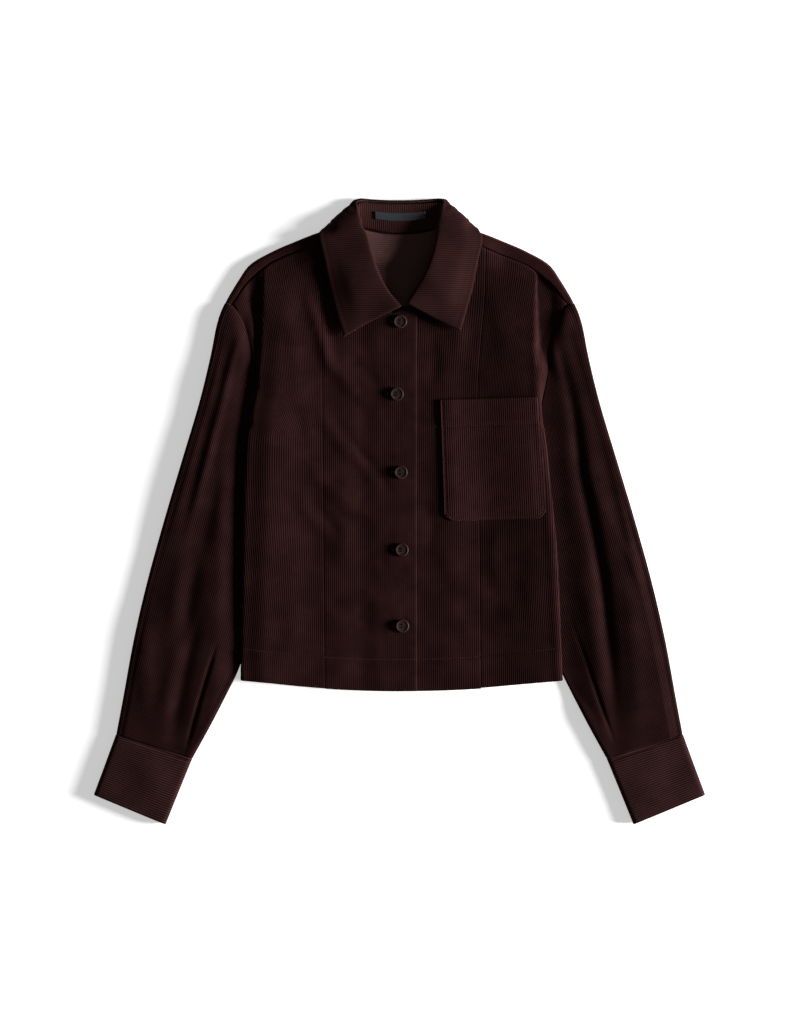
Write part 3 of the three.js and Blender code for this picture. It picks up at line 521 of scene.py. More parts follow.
def mesh_object(name, places, polygons, materials, smooth=True):
    """A mesh from places in millimetres and groups of (corner numbers, uv, material number)."""
    polygons = [group for group in polygons if len(group[0])]
    sizes = np.concatenate([np.full(len(group[0]), group[0].shape[1]) for group in polygons])
    loops = np.concatenate([group[0].ravel() for group in polygons])
    mesh = bpy.data.meshes.new(name)
    mesh.vertices.add(len(places))
    mesh.vertices.foreach_set("co", np.ascontiguousarray(places * MM, dtype=np.float32).ravel())
    mesh.loops.add(len(loops))
    mesh.loops.foreach_set("vertex_index", loops.astype(np.int32))
    mesh.polygons.add(len(sizes))
    mesh.polygons.foreach_set("loop_start", np.concatenate([[0], np.cumsum(sizes)[:-1]]).astype(np.int32))
    slots = np.concatenate([np.full(len(group[0]), group[2]) for group in polygons])
    mesh.polygons.foreach_set("material_index", slots.astype(np.int32))
    mesh.polygons.foreach_set("use_smooth", np.full(len(sizes), smooth))
    if polygons[0][1] is not None:
        layer = mesh.uv_layers.new(name="Cloth")
        uv = np.concatenate([group[1].reshape(-1, 2) for group in polygons])
        layer.data.foreach_set("uv", np.ascontiguousarray(uv, dtype=np.float32).ravel())
    mesh.update(calc_edges=True)
    mesh.validate()
    for material in materials:
        mesh.materials.append(material)
    thing = bpy.data.objects.new(name, mesh)
    bpy.context.scene.collection.objects.link(thing)
    return thing


def wale_numbers(count):
    """Place across the wales of each grid line, in millimetres of cloth."""
    return np.arange(count) * (WALE / STEPS)


def lengths_down(grid):
    """Mean length of cloth from the first row to each row, in millimetres."""
    run = np.linalg.norm(np.diff(grid, axis=0), axis=2).mean(1)
    return np.concatenate([[0], np.cumsum(run)])


def wales_down(name, grid, materials, relief, **options):
    """A single cloth whose columns are its wales, from the first row to the last."""
    columns = grid.shape[1] + options.get("wrap", False)
    cloth = (wale_numbers(columns)[None], lengths_down(grid)[:, None])
    return shell(name, grid, CLOTH, cloth, materials, relief=(relief, 0), **options)


def wales_across(name, grid, thickness, materials, relief, row, column):
    """Cloth whose rows are its wales. It is turned over where the cell at a row and column faces down."""
    cloth = (wale_numbers(len(grid))[:, None], lengths_down(grid.swapaxes(0, 1))[None])
    down = faces_down(grid, row, column)
    return shell(name, grid, thickness, cloth, materials, flip=down, relief=(relief, 0))


def faces_down(grid, row, column):
    corner = grid[row, column]
    return np.cross(grid[row, -1] - corner, grid[row + 4, column] - corner)[2] < 0


def spread(*parts):
    """Places joined from (first, last, count) runs, each without its last place, then the very last."""
    runs = [np.linspace(first, last, count, endpoint=False) for first, last, count in parts]
    return np.concatenate([*runs, [parts[-1][1]]])


# Fronts


def neck_boundary(s):
    """Top edge of a centre front as a chain of x and y: yoke seam, then neck seam, then the button edge."""
    edge_x = LAP_EDGE_X if s < 0 else UNDER_EDGE_X
    outs = np.linspace(106, NECK_HALF + 1, 30)
    chain = list(zip(s * outs, read(YOKE_SEAM, outs, side_name(s)) - SEAM))
    chain += [(s * (out + 0.6), y - 0.6) for out, y in NECK_SEAM[s]]
    chain.append((mix(s * NECK_SEAM[s][-1][0], edge_x, 0.4), NECK_TOP_Y[s]))
    chain.append((edge_x, NECK_TOP_Y[s]))
    chain = np.array(chain)
    return chain[np.argsort(chain[:, 0])]


def hem_relief(rise):
    """The turned hem stands 0.5 mm proud below its stitch line, which draws a furrow across the cloth."""
    return 0.5 * (1 - ease((rise - HEM_DEPTH + 1) / 2)) - 0.45 * bell(rise - HEM_DEPTH, 1.4)


def seam_dip(distance):
    """Cloth rolls down into a seam: -0.12 mm at the seam, gone 3 mm away."""
    return -0.12 * bell(distance, 1.6)


def front_centre(name, s, edge_x, height_of, materials):
    """Columns are wales from the hem to the top edge, and x runs evenly from the panel seam to the edge."""
    width = abs(edge_x - s * PANEL_OUT)
    count = wale_steps(width)
    share = np.linspace(0, 1, count + 1)
    chain = neck_boundary(s)

    def x_at(y):
        return mix(s * (read(PANEL_SEAM, y, side_name(s)) - SEAM), edge_x, share)

    top = np.full(count + 1, 300.0)
    for _ in range(4):
        top = np.interp(x_at(top), chain[:, 0], chain[:, 1])
    bottom = hem_y(mix(s * 90, edge_x, share))
    below, above = HEM_DEPTH - 1.6, HEM_DEPTH + 1.6
    low = spread((0, 1, 1), (1, 3, 1), (3, 34, 6), (34, below, 1), (below, above, 4), (above, 46, 1),
                 (46, 60, 2))
    high = np.linspace(0, 1, 74)[1:]
    y = np.concatenate([bottom + low[:, None], mix(bottom + 60, top, high[:, None])])
    x = x_at(y)
    seam = seam_dip(share * width) + hem_relief(y - bottom)
    edge_roll = -0.5 * bell((1 - share) * width, 1.6)
    grid = np.stack([x, y, height_of(x, y) + seam + edge_roll], -1)
    return wales_down(name, grid, materials, BODY_RELIEF, flip=s > 0)


SIDE_ROWS = spread(
    (-203, -202, 1), (-202, -200, 1), (-200, -169, 6), (-169, -166.6, 1), (-166.6, -163.4, 4),
    (-163.4, -157, 1), (-157, 82, 34), (82, 122, 10), (122, 222, 14), (222, SIDE_TOP_Y, 8),
)


def front_side(name, s, materials):
    """Rows cross from the panel seam to the ridge, then follow a four-point Bezier turn round the side fold
    to the side seam or the armhole. Each is taken again at even steps of its length, so columns are wales."""
    side = side_name(s)
    edge_y = SIDE_ROWS[:, None]
    up = ease((edge_y - 95) / 152)
    seam_y = edge_y - 10 * ease((95 - edge_y) / 298) + (read(YOKE_SEAM, 102, side) - YOKE_GAP - 247) * up
    bow = ease((edge_y - 150) / 92)
    at_yoke = ease((edge_y - 236) / 10.6)
    under_yoke = lambda out: read(YOKE_SEAM, out, side) - YOKE_GAP - (SIDE_TOP_Y - edge_y)
    seam_top = mix(seam_y, under_yoke(read(PANEL_SEAM, seam_y, side)), bow)
    seam_out = read(PANEL_SEAM, seam_top, side) + SEAM
    fold_out = read(FOLD, edge_y, side) - CLOTH / 2
    undercut = ease((165 - edge_y) / 42)
    edge_out = read(SIDE_EDGE, edge_y, side) + mix(0.8, 0.15, undercut) * ease((243 - edge_y) / 12)
    edge_out += 0.8 * bell(edge_y - 166, 5)
    ridge_y = mix(seam_y, edge_y, 0.85)
    ridge_out = read(FOLD, ridge_y, side) - FOLD_INSET
    t = np.linspace(0, 1, 60)[None]
    out = mix(seam_out, ridge_out, t)
    y = mix(mix(seam_y, ridge_y, t), under_yoke(out), bow)
    z = creased_front(s * out, y)
    start_z = z[:, -1:]
    seam_height = mix(OVER_SLEEVE, 3.9, ease((edge_y - 150) / 22))
    seam_height = mix(seam_height, SHOULDER_TOP, ease((edge_y - 222) / 25))
    edge_height = np.where(edge_y > ARMPIT_Y, seam_height, BACK_MID + sleeve_lift(s * edge_out, edge_y))
    handle_out = (fold_out - (ridge_out + edge_out) / 8) / 0.75
    handle_a = mix(mix(ridge_out, edge_out, 0.4), handle_out, undercut)
    handle_b = mix(mix(ridge_out, edge_out, 0.55), handle_out, undercut)
    height_b = mix(mix(edge_height, start_z, 0.75), edge_height, undercut)
    t = np.linspace(0, 1, 30)[None, 1:]
    weights = ((1 - t) ** 3, 3 * (1 - t) ** 2 * t, 3 * (1 - t) * t * t, t ** 3)

    def bezier(*handles):
        return sum(weight * handle for weight, handle in zip(weights, handles))

    turn_out = bezier(ridge_out, handle_a, handle_b, edge_out)
    turn_z = bezier(start_z, start_z, height_b, edge_height)
    across = np.sin(np.pi * t ** 0.6) * ease((edge_y - 165) / 25) if s > 0 else bell(t - 0.42, 0.24)
    trough = SIDE_TROUGH * (1 - undercut) * ease((262 - edge_y) / 34) * across
    turn_z = np.where(undercut < 1, np.maximum(turn_z - trough, np.minimum(turn_z, 2.7)), turn_z)
    turn_y = mix(mix(y[:, -1:], edge_y, t), under_yoke(turn_out), bow * at_yoke * ease(t / 0.2))
    rows = np.concatenate([np.stack([s * out, y, z], -1), np.stack([s * turn_out, turn_y, turn_z], -1)], 1)
    length = mean_length(rows)
    count = wale_steps(length)
    grid = even(rows, count)
    distance = np.linspace(0, 1, count + 1) * length
    grid[:, :, 2] += seam_dip(distance) + hem_relief(edge_y - HEM_SIDE_Y)
    return wales_down(name, grid, materials, BODY_RELIEF, flip=s < 0)


# Back and yoke


def back_body(name, materials):
    """On the floor in the middle, lifted over the sleeves at its sides. Its wales are x itself."""
    rows_y = spread((-203, -202, 1), (-202, -168, 5), (-168, 82, 24), (82, 116, 8),
                    (116, BACK_SEAM_Y - SEAM / 2, 12))
    insets = np.array([0.2, 1.2, 3, 6, 9, 12, 15, 18, 21, 26, 34, 48, 66, 90])
    edge = {}
    for s in (-1, 1):
        low = read(SIDE_EDGE, rows_y, side_name(s))
        high = read(BACK_ARMHOLE_BY_Y, rows_y, "out") - 0.1
        edge[s] = np.where(rows_y <= ARMPIT_Y, low, high)[:, None]
    left = -(edge[-1] - insets)
    right = (edge[1] - insets)[:, ::-1]
    middle = np.broadcast_to(np.linspace(-50, 50, 7), (len(rows_y), 7))
    x = np.concatenate([left, middle, right], 1)
    y = rows_y[:, None] + (hem_y(x) - HEM_SIDE_Y) * ease((-60 - rows_y[:, None]) / 140)
    grid = np.stack([x, y, BACK_MID + sleeve_lift(x, y)], -1)
    return shell(name, grid, CLOTH, (x, y), materials, flip=True, relief=(0, 0))


YOKE_NECK = np.linspace(-46, 46, 12)
YOKE_BACK_CELLS = 10


def yoke_side(s, count, reach_steps):
    """Columns along a shoulder: back part to the fold, half round the fold, then down to the front seam.

    The front part steps down from the fold a quarter wale at a time and stops at the seam."""
    share = np.linspace(0, 1, count)
    crest = along(np.stack([s * SHOULDER["out"], SHOULDER["y"]], -1)[::-1], share)
    run = np.gradient(crest, axis=0)
    outward = np.stack([-run[:, 1], run[:, 0]], -1)
    outward /= np.linalg.norm(outward, axis=1, keepdims=True)
    outward *= np.sign(outward[:, 1:2])
    lift = collar_lift(crest[:, 0], crest[:, 1])[:, None]
    low, high = BACK_MID + lift, SHOULDER_TOP + lift
    radius = (high - low) / 2
    centre = crest - outward * (radius + CLOTH / 2)
    start = np.stack([s * mix(196, NECK_HALF, share), np.full(count, BACK_SEAM_Y + SEAM / 2)], -1)
    seam_out = mix(200.8, NECK_HALF + 1.2, share)
    end = np.stack([s * seam_out, read(YOKE_SEAM, seam_out, side_name(s)) + 0.8], -1)
    t = (1 - (1 - np.arange(YOKE_BACK_CELLS) / YOKE_BACK_CELLS) ** 1.6)[None, :, None]
    back = mix(start[:, None], centre[:, None], t)
    back_z = BACK_MID + collar_lift(back[..., 0], back[..., 1])
    angle = np.linspace(-np.pi / 2, np.pi / 2, 3 * STEPS + 1)[None]
    fold = centre[:, None] + outward[:, None] * (radius * np.cos(angle))[..., None]
    fold_z = (low + high) / 2 + radius * np.sin(angle)
    total = np.linalg.norm(end - centre, axis=1)[:, None]
    distance = np.minimum(np.arange(1, reach_steps + 1)[None] * WALE / STEPS, total)
    t = distance / total
    front = mix(centre[:, None], end[:, None], t[..., None])
    front_z = mix(high, front_height(front[..., 0], front[..., 1]), t) + seam_dip(total - distance)
    parts = [(back, back_z), (fold, fold_z), (front, front_z)]
    places = np.concatenate([np.concatenate([plan, height[..., None]], -1) for plan, height in parts], 1)
    wale_line = np.arange(3 * STEPS + 1 + reach_steps) * WALE / STEPS
    wale_line = np.broadcast_to(wale_line, (count, len(wale_line)))
    u = np.concatenate([back[..., 1] - centre[:, None, 1], wale_line], 1)
    return places, u


def neck_back_y(x):
    return mix(NECK_BACK_Y, NECK_SIDE_Y, (np.abs(x) / NECK_HALF) ** 2.5)


def back_yoke(name, materials):
    """Flat behind, over each shoulder's fold, down to the front seam. Its wales run across the shoulders."""
    count = 30
    reach = 9 * STEPS
    left, left_u = yoke_side(-1, count, reach)
    right, right_u = yoke_side(1, count, reach)
    rows = left.shape[1]
    t = 1 - (1 - np.minimum(1, np.arange(rows) / YOKE_BACK_CELLS)) ** 1.6
    x = np.broadcast_to(YOKE_NECK[:, None], (len(YOKE_NECK), rows))
    y = mix(BACK_SEAM_Y + SEAM / 2, neck_back_y(x) - SEAM, t[None])
    neck = np.stack([x, y, BACK_MID + collar_lift(x, y)], -1)
    grid = np.concatenate([left, neck, right[::-1]])
    u = np.concatenate([left_u, y - 340, right_u[::-1]])
    first, last = count - 1, count - 1 + len(YOKE_NECK)

    def keep(i, j):
        return (i < first) | (i > last) | (j < YOKE_BACK_CELLS)

    v = np.broadcast_to(grid[..., 0], u.shape)
    return shell(name, grid, CLOTH, (u, v), materials, keep=keep, relief=(YOKE_RELIEF, 0))


# Sleeves and cuffs


def turned_inwards(grid):
    """Whether the cells of a tube of rings face its own middle line."""
    centre = grid.mean(1, keepdims=True)
    ahead = np.roll(grid, -1, axis=1)
    normal = np.cross(ahead[:-1] - grid[:-1], grid[1:] - grid[:-1])
    return (normal * (grid - centre)[:-1]).sum() < 0


def flat_rings(top, low, floor_mid, height_at, inset):
    """Rings of a flattened tube between two plan lines, round from the outer fold's underside.

    top(t) and low(t) are each layer's plan places, from the outer fold at 0 to the inner fold at 1. Each
    fold is half a circle whose radius is half the height there, and the upper layer follows height_at."""
    rings = top(np.array([[0.0]])).shape[0]
    chord = np.linalg.norm(top(np.ones((rings, 1))) - top(np.zeros((rings, 1))), axis=-1)
    margin = inset / chord
    bent = lambda t: height_at(top(np.full((rings, 1), t)))
    radius_outer = (bent(0.05) - floor_mid) / 2
    radius_inner = (bent(0.96) - floor_mid) / 2
    parts = []

    def push(t, rise, height):
        plan = mix(low(t), top(t), np.broadcast_to(rise, t.shape)[..., None])
        parts.append(np.concatenate([plan, np.broadcast_to(height, t.shape)[..., None]], -1))

    def arc(radius, first, last, from_inner):
        angle = np.linspace(first, last, 16)[None]
        reach = margin + radius * (1 - np.cos(angle)) / chord
        rise = 1 + np.sin(angle)
        push(1 - reach if from_inner else reach, rise / 2, floor_mid + radius * rise)

    arc(radius_outer, -np.pi / 2, np.pi / 2, False)
    first = margin + radius_outer / chord
    final = 1 - margin - radius_inner / chord
    t = mix(first, final, np.linspace(0, 1, 70)[None, 1:-1])
    start, end = ease((t - first) / 0.06), ease((final - t) / 0.06)
    height = mix(floor_mid + 2 * radius_outer, height_at(top(t)), start)
    push(t, 1, mix(floor_mid + 2 * radius_inner, height, end))
    arc(radius_inner, np.pi / 2, -np.pi / 2, True)
    t = mix(final, first, np.linspace(0, 1, 40)[None, 1:-1])
    push(t, 0, floor_mid)
    return np.concatenate(parts, 1)


# Creases of the sleeves by side: path in x and y, width and height. Some are ridges, some troughs
SLEEVE_CREASES = {
    -1: [
        ([(-190, 226), (-195, 198), (-205, 164), (-213, 129), (-220, 103), (-231, 60), (-247, 0),
          (-263, -60)], 5.5, 2.4),
        ([(-214, 206), (-224, 156), (-238, 96), (-256, 26), (-274, -50)], 12, 1.8),
        ([(-258, -40), (-268, -100), (-272, -150)], 9, 1.2),
        ([(-243, -55), (-252, -110), (-260, -163)], 9, -1.5),
        ([(-264, -150), (-274, -200), (-284, -252)], 9, 1.3),
        ([(-232, -100), (-252, -170), (-268, -240), (-276, -290)], 8, -1.3),
        ([(-217, -150), (-240, -228), (-258, -294)], 2.6, -1.8),
        ([(-300, -120), (-306, -190), (-304, -250)], 10, 1.2),
        ([(-224, 150), (-236, 90), (-250, 30), (-262, -20)], 8, -1.2),
        ([(-212, 60), (-226, 0), (-240, -60)], 9, -1.0),
        ([(-280, -20), (-292, -80), (-298, -130)], 10, -0.8),
    ],
    1: [
        ([(203, 250), (214, 222), (223, 190), (233, 158), (246, 110), (258, 60), (270, 10), (284, -60),
          (296, -120)], 8, 5.4),
        ([(181, 262), (188, 208), (205, 138), (211, 109), (218, 43), (231, -16), (244, -88), (251, -154),
          (257, -219), (261, -290)], 7.5, -3.6),
        ([(188, -78), (214, -154), (224, -179), (244, -240), (260, -285)], 2.6, -1.8),
        ([(205, -40), (222, -100), (234, -160), (244, -220)], 9, 0.9),
        ([(268, -60), (280, -130), (284, -200), (284, -270)], 11, 1.1),
        ([(196, 120), (199, 60), (204, 0), (214, -60)], 8, 1.0),
    ],
}


def sleeve_height(x, y, s):
    """The upper layer: pressed under the body, full outside it, with the long hollow and the creases."""
    side = side_name(s)
    out = np.abs(x)
    body_edge = np.maximum(read(FOLD, y, side) + 3, read(SIDE_EDGE, y, side) + 2)
    trough = body_edge - 6 * ease((y - 165) / 20) - 6 * ease((y - 215) / 30)
    past_hem = ease((-208 - y) / 45)
    ramp = mix(30 if s < 0 else 52, 17, ease((y - 140) / 40))
    full = np.maximum(ease((out - trough) / ramp), 0.85 * past_hem)
    depth = read(SLEEVE_HOLLOW, y, "depth") * bell(out - read(SLEEVE_HOLLOW, y, side), HOLLOW_WIDTH)
    creases = crease_height(x, y, SLEEVE_CREASES[s])
    from_fold = read(OUTER_BY_Y, y, "out") - out
    reach = 16 + 24 * ease((y + 100) / 150) * ease((240 - y) / 50)
    fall = mix(0.75, 1, ease(from_fold / 12)) if s < 0 else mix(0.28, 1, np.clip(from_fold / reach, 0, 1))
    return SLEEVE_PRESSED + np.maximum(0, (SLEEVE_PUFF - depth + creases) * full * fall)


def sleeve(name, s, materials):
    """Rings from the armhole to the cuff. Near the armhole they bow to follow its front and back seams."""
    sign = np.array([s, 1.0])
    share = spread((0, 0.003, 1), (0.003, 0.9945, 64), (0.9945, 0.9995, 2))
    start = along(np.array(SLEEVE_OUTER) * sign, share)[:, None]
    end = along(np.array(SLEEVE_INNER) * sign, share)[:, None]
    bow = ((1 - np.clip(share / 0.3, 0, 1)) ** 2)[:, None, None]

    def layer(seam):
        seam = np.array(seam) * sign
        ends = along(seam, [0, 1])

        def plan(t):
            t = np.broadcast_to(t, (len(share), t.shape[1]))
            bent = along(seam, t) - mix(ends[0], ends[1], t[..., None])
            return mix(start, end, t[..., None]) + bent * bow

        return plan

    height_at = lambda places: sleeve_height(places[..., 0], places[..., 1], s)
    rings = flat_rings(layer(ARMHOLE_FRONT), layer(ARMHOLE_BACK), BACK_MID, height_at, CLOTH / 2)
    count = wale_steps(mean_length(rings, closed=True))
    grid = even(rings, count, closed=True)
    return wales_down(name, grid, materials, SLEEVE_RELIEF, wrap=True, flip=turned_inwards(grid))


def cuff(name, s, materials):
    """A doubled band: rings down the arm are its wales, which run round the wrist."""
    sign = np.array([s, 1.0])
    outer = [np.array(CUFF[key]) * sign for key in ("outerTop", "outerEnd")]
    inner = [np.array(CUFF[key]) * sign for key in ("innerTop", "innerEnd")]
    depth = np.linalg.norm(outer[1] - outer[0])
    count = wale_steps(depth)
    share = np.linspace(-0.7 / depth, 1, count + 1)[:, None]
    start = mix(outer[0], outer[1], share)[:, None]
    end = mix(inner[0], inner[1], share)[:, None]
    line = lambda t: mix(start, end, np.broadcast_to(t, (count + 1, t.shape[1]))[..., None])
    places = line(np.linspace(0, 1, 5)[None])
    axis = places[0, -1] - places[0, 0]
    width = np.linalg.norm(axis)
    down = (outer[1] - outer[0]) / depth

    def height_at(plan):
        run = (plan - start[0, 0]) @ down
        over = (plan - start[0, 0]) @ (axis / width) / width
        swell = 0.7 * np.sin(np.pi * np.clip(over, 0, 1))
        swell = swell + 0.5 * np.sin(2.3 + 9 * over) * np.sin(np.pi * run / depth)
        return CUFF_TOP + swell - 0.7 * bell(run, 1.6)

    rings = flat_rings(line, line, DOUBLED / 2, height_at, DOUBLED / 2)
    grid = even(rings, 88, closed=True)
    run = np.linspace(0, depth, count + 1)[:, None]
    round_wrist = np.linspace(0, mean_length(grid, closed=True), 89)[None]
    return shell(name, grid, DOUBLED, (run, round_wrist), materials, wrap=True, flip=turned_inwards(grid),
                 relief=(CUFF_RELIEF, 0))


# Collar


def ground_under_collar(x, y):
    top = np.where((x < 0) | (y < 262), lap_height(x, y), front_height(x, y))
    return float(top) + CLOTH / 2


def collar_station(s, row, foot_z, edge_z, raised=False):
    """Foot, top, bend and edge of one line across the collar as places, and its share under."""
    fx, fy, tx, ty, tz, bx, by, bz, ex, ey, under = row
    places = [(s * fx, fy, foot_z), (s * tx, ty, tz + ROLL_RAISE * raised),
              (s * bx, by, bz + BEND_RAISE * raised), (s * ex, ey, edge_z)]
    return [*(np.array(place, float) for place in places), under]


def collar_stations():
    """The lines across the collar, from the left point round to the right one."""
    sides = []
    for s in (-1, 1):
        side = []
        for row in COLLAR[s]:
            foot_z = ground_under_collar(s * row[0], row[1]) - CLOTH / 2
            edge_z = ground_under_collar(s * row[8], row[9]) + LEAF_CLEARANCE + LEAF_LIFT[s] + DOUBLED / 2
            side.append(collar_station(s, row, foot_z, edge_z, s > 0))
        for row in zip(COLLAR_TURN, TURN_FOOT_HEIGHTS, TURN_EDGE_HEIGHTS):
            side.append(collar_station(s, *row))
        sides.append(side)
    middle = collar_station(1, COLLAR_MIDDLE, BACK_FOOT_HEIGHT, DOUBLED / 2)
    return [*sides[0], middle, *sides[1][::-1]]


def leaf_path(station):
    """The leaf's way across: it rolls over from the stand's top, then runs through the bend to the edge."""
    foot, top, bend, edge, under = station
    rise = (top - foot) / np.linalg.norm(top - foot)
    outer = bend - top
    outer = outer - rise * (outer @ rise)
    outer /= np.linalg.norm(outer)
    radius = min(ROLL_RADIUS, (top[2] - DOUBLED / 2) / 2) if under == 1 else ROLL_RADIUS

    def rolled(degrees):
        angle = np.radians(degrees)
        return top + outer * radius * (1 - np.cos(angle)) + rise * radius * np.sin(angle)

    points = [top, rolled(50), rolled(95), rolled(140)]
    if bend[2] < 3.5:
        points.append(rolled(180))
    else:
        beyond = mix(bend, edge, mix(0.5, 0.15, under))
        beyond[2] = mix(edge[2], bend[2], mix(0.45, 0.06, under))
        points += [bend, beyond]
    points.append(edge)
    return np.array(points)


LEAF_SHARES = np.array([0.014, 0.03, 0.045, 0.06, 0.075, 0.09, 0.11, 0.14, 0.18, 0.23, 0.29, 0.35, 0.41, 0.47,
                        0.53, 0.59, 0.65, 0.71, 0.77, 0.83, 0.88, 0.905, 0.92, 0.935, 0.96, 0.985, 1])
STAND_SHARES = np.array([0.04, 0.06, 0.15, 0.25, 0.35, 0.5, 0.65, 0.8, 0.93, 0.95])
FRONT_STATIONS = 4


def collar_lines(shares, path_of):
    return np.array([along(path_of(station), shares) for station in collar_stations()])


def even_stations(lines, column, stations):
    """Stations a quarter wale apart, as measured along one column of the lines."""
    lengths = chain_lengths(spline(lines[:, column], stations))
    return np.interp(np.linspace(0, lengths[-1], wale_steps(lengths[-1]) + 1), lengths, stations)


def leaf_rows(lines):
    """Row numbers along the collar for each share. On the fronts each row keeps its y, so that the wales lie
    level and the slanting front edge cuts them. Between the shoulders the rows follow the stations."""
    last = len(lines) - 1
    fine = np.linspace(0, FRONT_STATIONS, 161)
    blocks = []
    for flip in (False, True):
        y = spline(lines[::-1] if flip else lines, fine)[..., 1]
        joined = y[-1]
        levels = np.arange(y.min(), joined.mean(), WALE / STEPS)
        target = levels[:, None] + (joined - levels[-1]) * ease((levels[:, None] - 285) / (levels[-1] - 285))
        row = np.stack([np.interp(target[:, k], y[:, k], fine) for k in range(y.shape[1])], 1)
        blocks.append(last - row[::-1] if flip else row)
    u = even_stations(lines, 6, np.linspace(FRONT_STATIONS, last - FRONT_STATIONS, 400))[1:-1]
    middle = np.broadcast_to(u[:, None], (len(u), lines.shape[1]))
    return np.concatenate([blocks[0], middle, blocks[1]])


def straight_turn(grid, s):
    """Pull, in x and y, that draws the folded leaf's outline out to one straight line beside the neck."""
    start, end = (np.array(point, float) for point in LEAF_OUTLINE[s])
    length = np.linalg.norm(end - start)
    run = (end - start) / length
    outward = np.array([s * abs(run[1]), abs(run[0])])
    place, out = (grid[..., :2] - start) @ run, (grid[..., :2] - start) @ outward
    stations = np.linspace(1, length - 1, 26)
    reach = np.array([out[np.abs(place - at) < 2.2].max() for at in stations])
    furthest = np.interp(place, stations, reach)
    pull = (-DOUBLED / 2 - 0.1 - furthest) * bell(furthest - out, 7)
    pull *= ease((place + 5) / 6) * ease((length + 5 - place) / 6) * (s * grid[..., 0] > 0)
    return pull[..., None] * outward


def collar_leaf(name, materials):
    lines = collar_lines(LEAF_SHARES, leaf_path)
    rows = leaf_rows(lines)
    grid = np.stack([spline(lines[:, k], rows[:, k]) for k in range(lines.shape[1])], 1)
    for s in (-1, 1):
        grid[..., :2] += straight_turn(grid, s)
    grid[..., 2] = np.maximum(grid[..., 2], DOUBLED / 2)
    v = lengths_down(grid.swapaxes(0, 1))
    grid[..., 2] -= 0.12 * bell(v[-1] - v - 6, 1.2) * ease((grid[..., 2] - 5) / 3)
    return wales_across(name, grid, DOUBLED, materials, LEAF_RELIEF, 60, -6)


def collar_stand(name, materials):
    lines = collar_lines(STAND_SHARES, lambda station: np.array(station[:2]))
    grid = spline(lines, even_stations(lines, 4, np.linspace(0, len(lines) - 1, 600)))
    return wales_across(name, grid, CLOTH, materials, STAND_RELIEF, len(grid) // 2, 0)


def neck_label(name, material):
    """A bare strip on the inside of the stand: the stand's own points, moved up."""
    shares = np.linspace(*LABEL_ACROSS, 12)
    lines = collar_lines(shares, lambda station: np.array(station[:2]))
    u = np.linspace(*LABEL_ALONG, 60) / COLLAR_ALONG * (len(lines) - 1)
    grid = spline(lines, u)
    ripple = 0.12 * np.sin(np.linspace(0, 9, 60))[:, None] * np.sin(np.linspace(0, np.pi, 12))
    grid[..., 2] += CLOTH / 2 + LAID + SATIN / 2 + ripple
    length = np.linalg.norm(grid[-1, 0] - grid[0, 0])
    height = np.linalg.norm(grid[0, -1] - grid[0, 0])
    cloth = (np.linspace(0, length, 60)[:, None], np.linspace(0, height, 12)[None])
    down = faces_down(grid, 30, 0)
    return shell(name, grid, SATIN, cloth, [material, material], flip=down, relief=(0, 0))


# Pocket


def pocket_point(share, y):
    up = (y - POCKET["bottomInner"][1]) / (POCKET["topInner"][1] - POCKET["bottomInner"][1])
    inner = mix(POCKET["bottomInner"][0], POCKET["topInner"][0], up)
    outer = mix(POCKET["bottomOuter"][0], POCKET["topOuter"][0], up)
    return mix(inner, outer, share)


def pocket_height(x, y, from_edge):
    """The front's own height, moved out by the cloth, and swelling 0.7 mm away from the sewn edges."""
    swell = 0.7 * ease(from_edge / 16)
    furrow = -0.45 * bell(from_edge - POCKET_STITCH, 1.1)
    return creased_front(x, y) + CLOTH + LAID + swell + furrow


def pocket(name, materials):
    """Columns are wales, cut off below by two round corners: y = bottom + r - sqrt(r^2 - (r - d)^2)."""
    width = POCKET["topOuter"][0] - POCKET["topInner"][0]
    count = wale_steps(width)
    share = np.linspace(0, 1, count + 1)
    inset = np.minimum(share, 1 - share) * width
    short = np.clip(POCKET["radius"] - inset, 0, POCKET["radius"])
    corner = POCKET["radius"] - np.sqrt(POCKET["radius"] ** 2 - short ** 2)
    bottom = mix(POCKET["bottomInner"][1], POCKET["bottomOuter"][1], share) + corner
    top = mix(POCKET["topInner"][1], POCKET["topOuter"][1], share)
    band = top - POCKET_BAND
    low = spread((0, 1.4, 2), (1.4, 4.2, 4))
    high = spread((-1.5, 1.5, 4), (1.5, POCKET_BAND - 1, 8), (POCKET_BAND - 1, POCKET_BAND, 1))
    middle = np.linspace(0, 1, 26)[1:-1, None]
    y = np.concatenate([bottom + low[:, None], mix(bottom + 4.2, band - 1.5, middle), band + high[:, None]])
    x = pocket_point(share, y)
    from_edge = np.minimum(inset, y - bottom)
    z = pocket_height(x, y, from_edge)
    z -= 0.8 * bell(y - band, 1.4)
    z += 0.35 * ease((y - band) / 3)
    return wales_down(name, np.stack([x, y, z], -1), materials, BODY_RELIEF)


# Sewing


def level_side(run):
    """Unit vectors at right angles to each run, level with the floor."""
    return unit(np.stack([-run[:, 1], run[:, 0], np.zeros(len(run))], -1))


def unit(vectors):
    return vectors / np.maximum(np.linalg.norm(vectors, axis=1, keepdims=True), 1e-6)


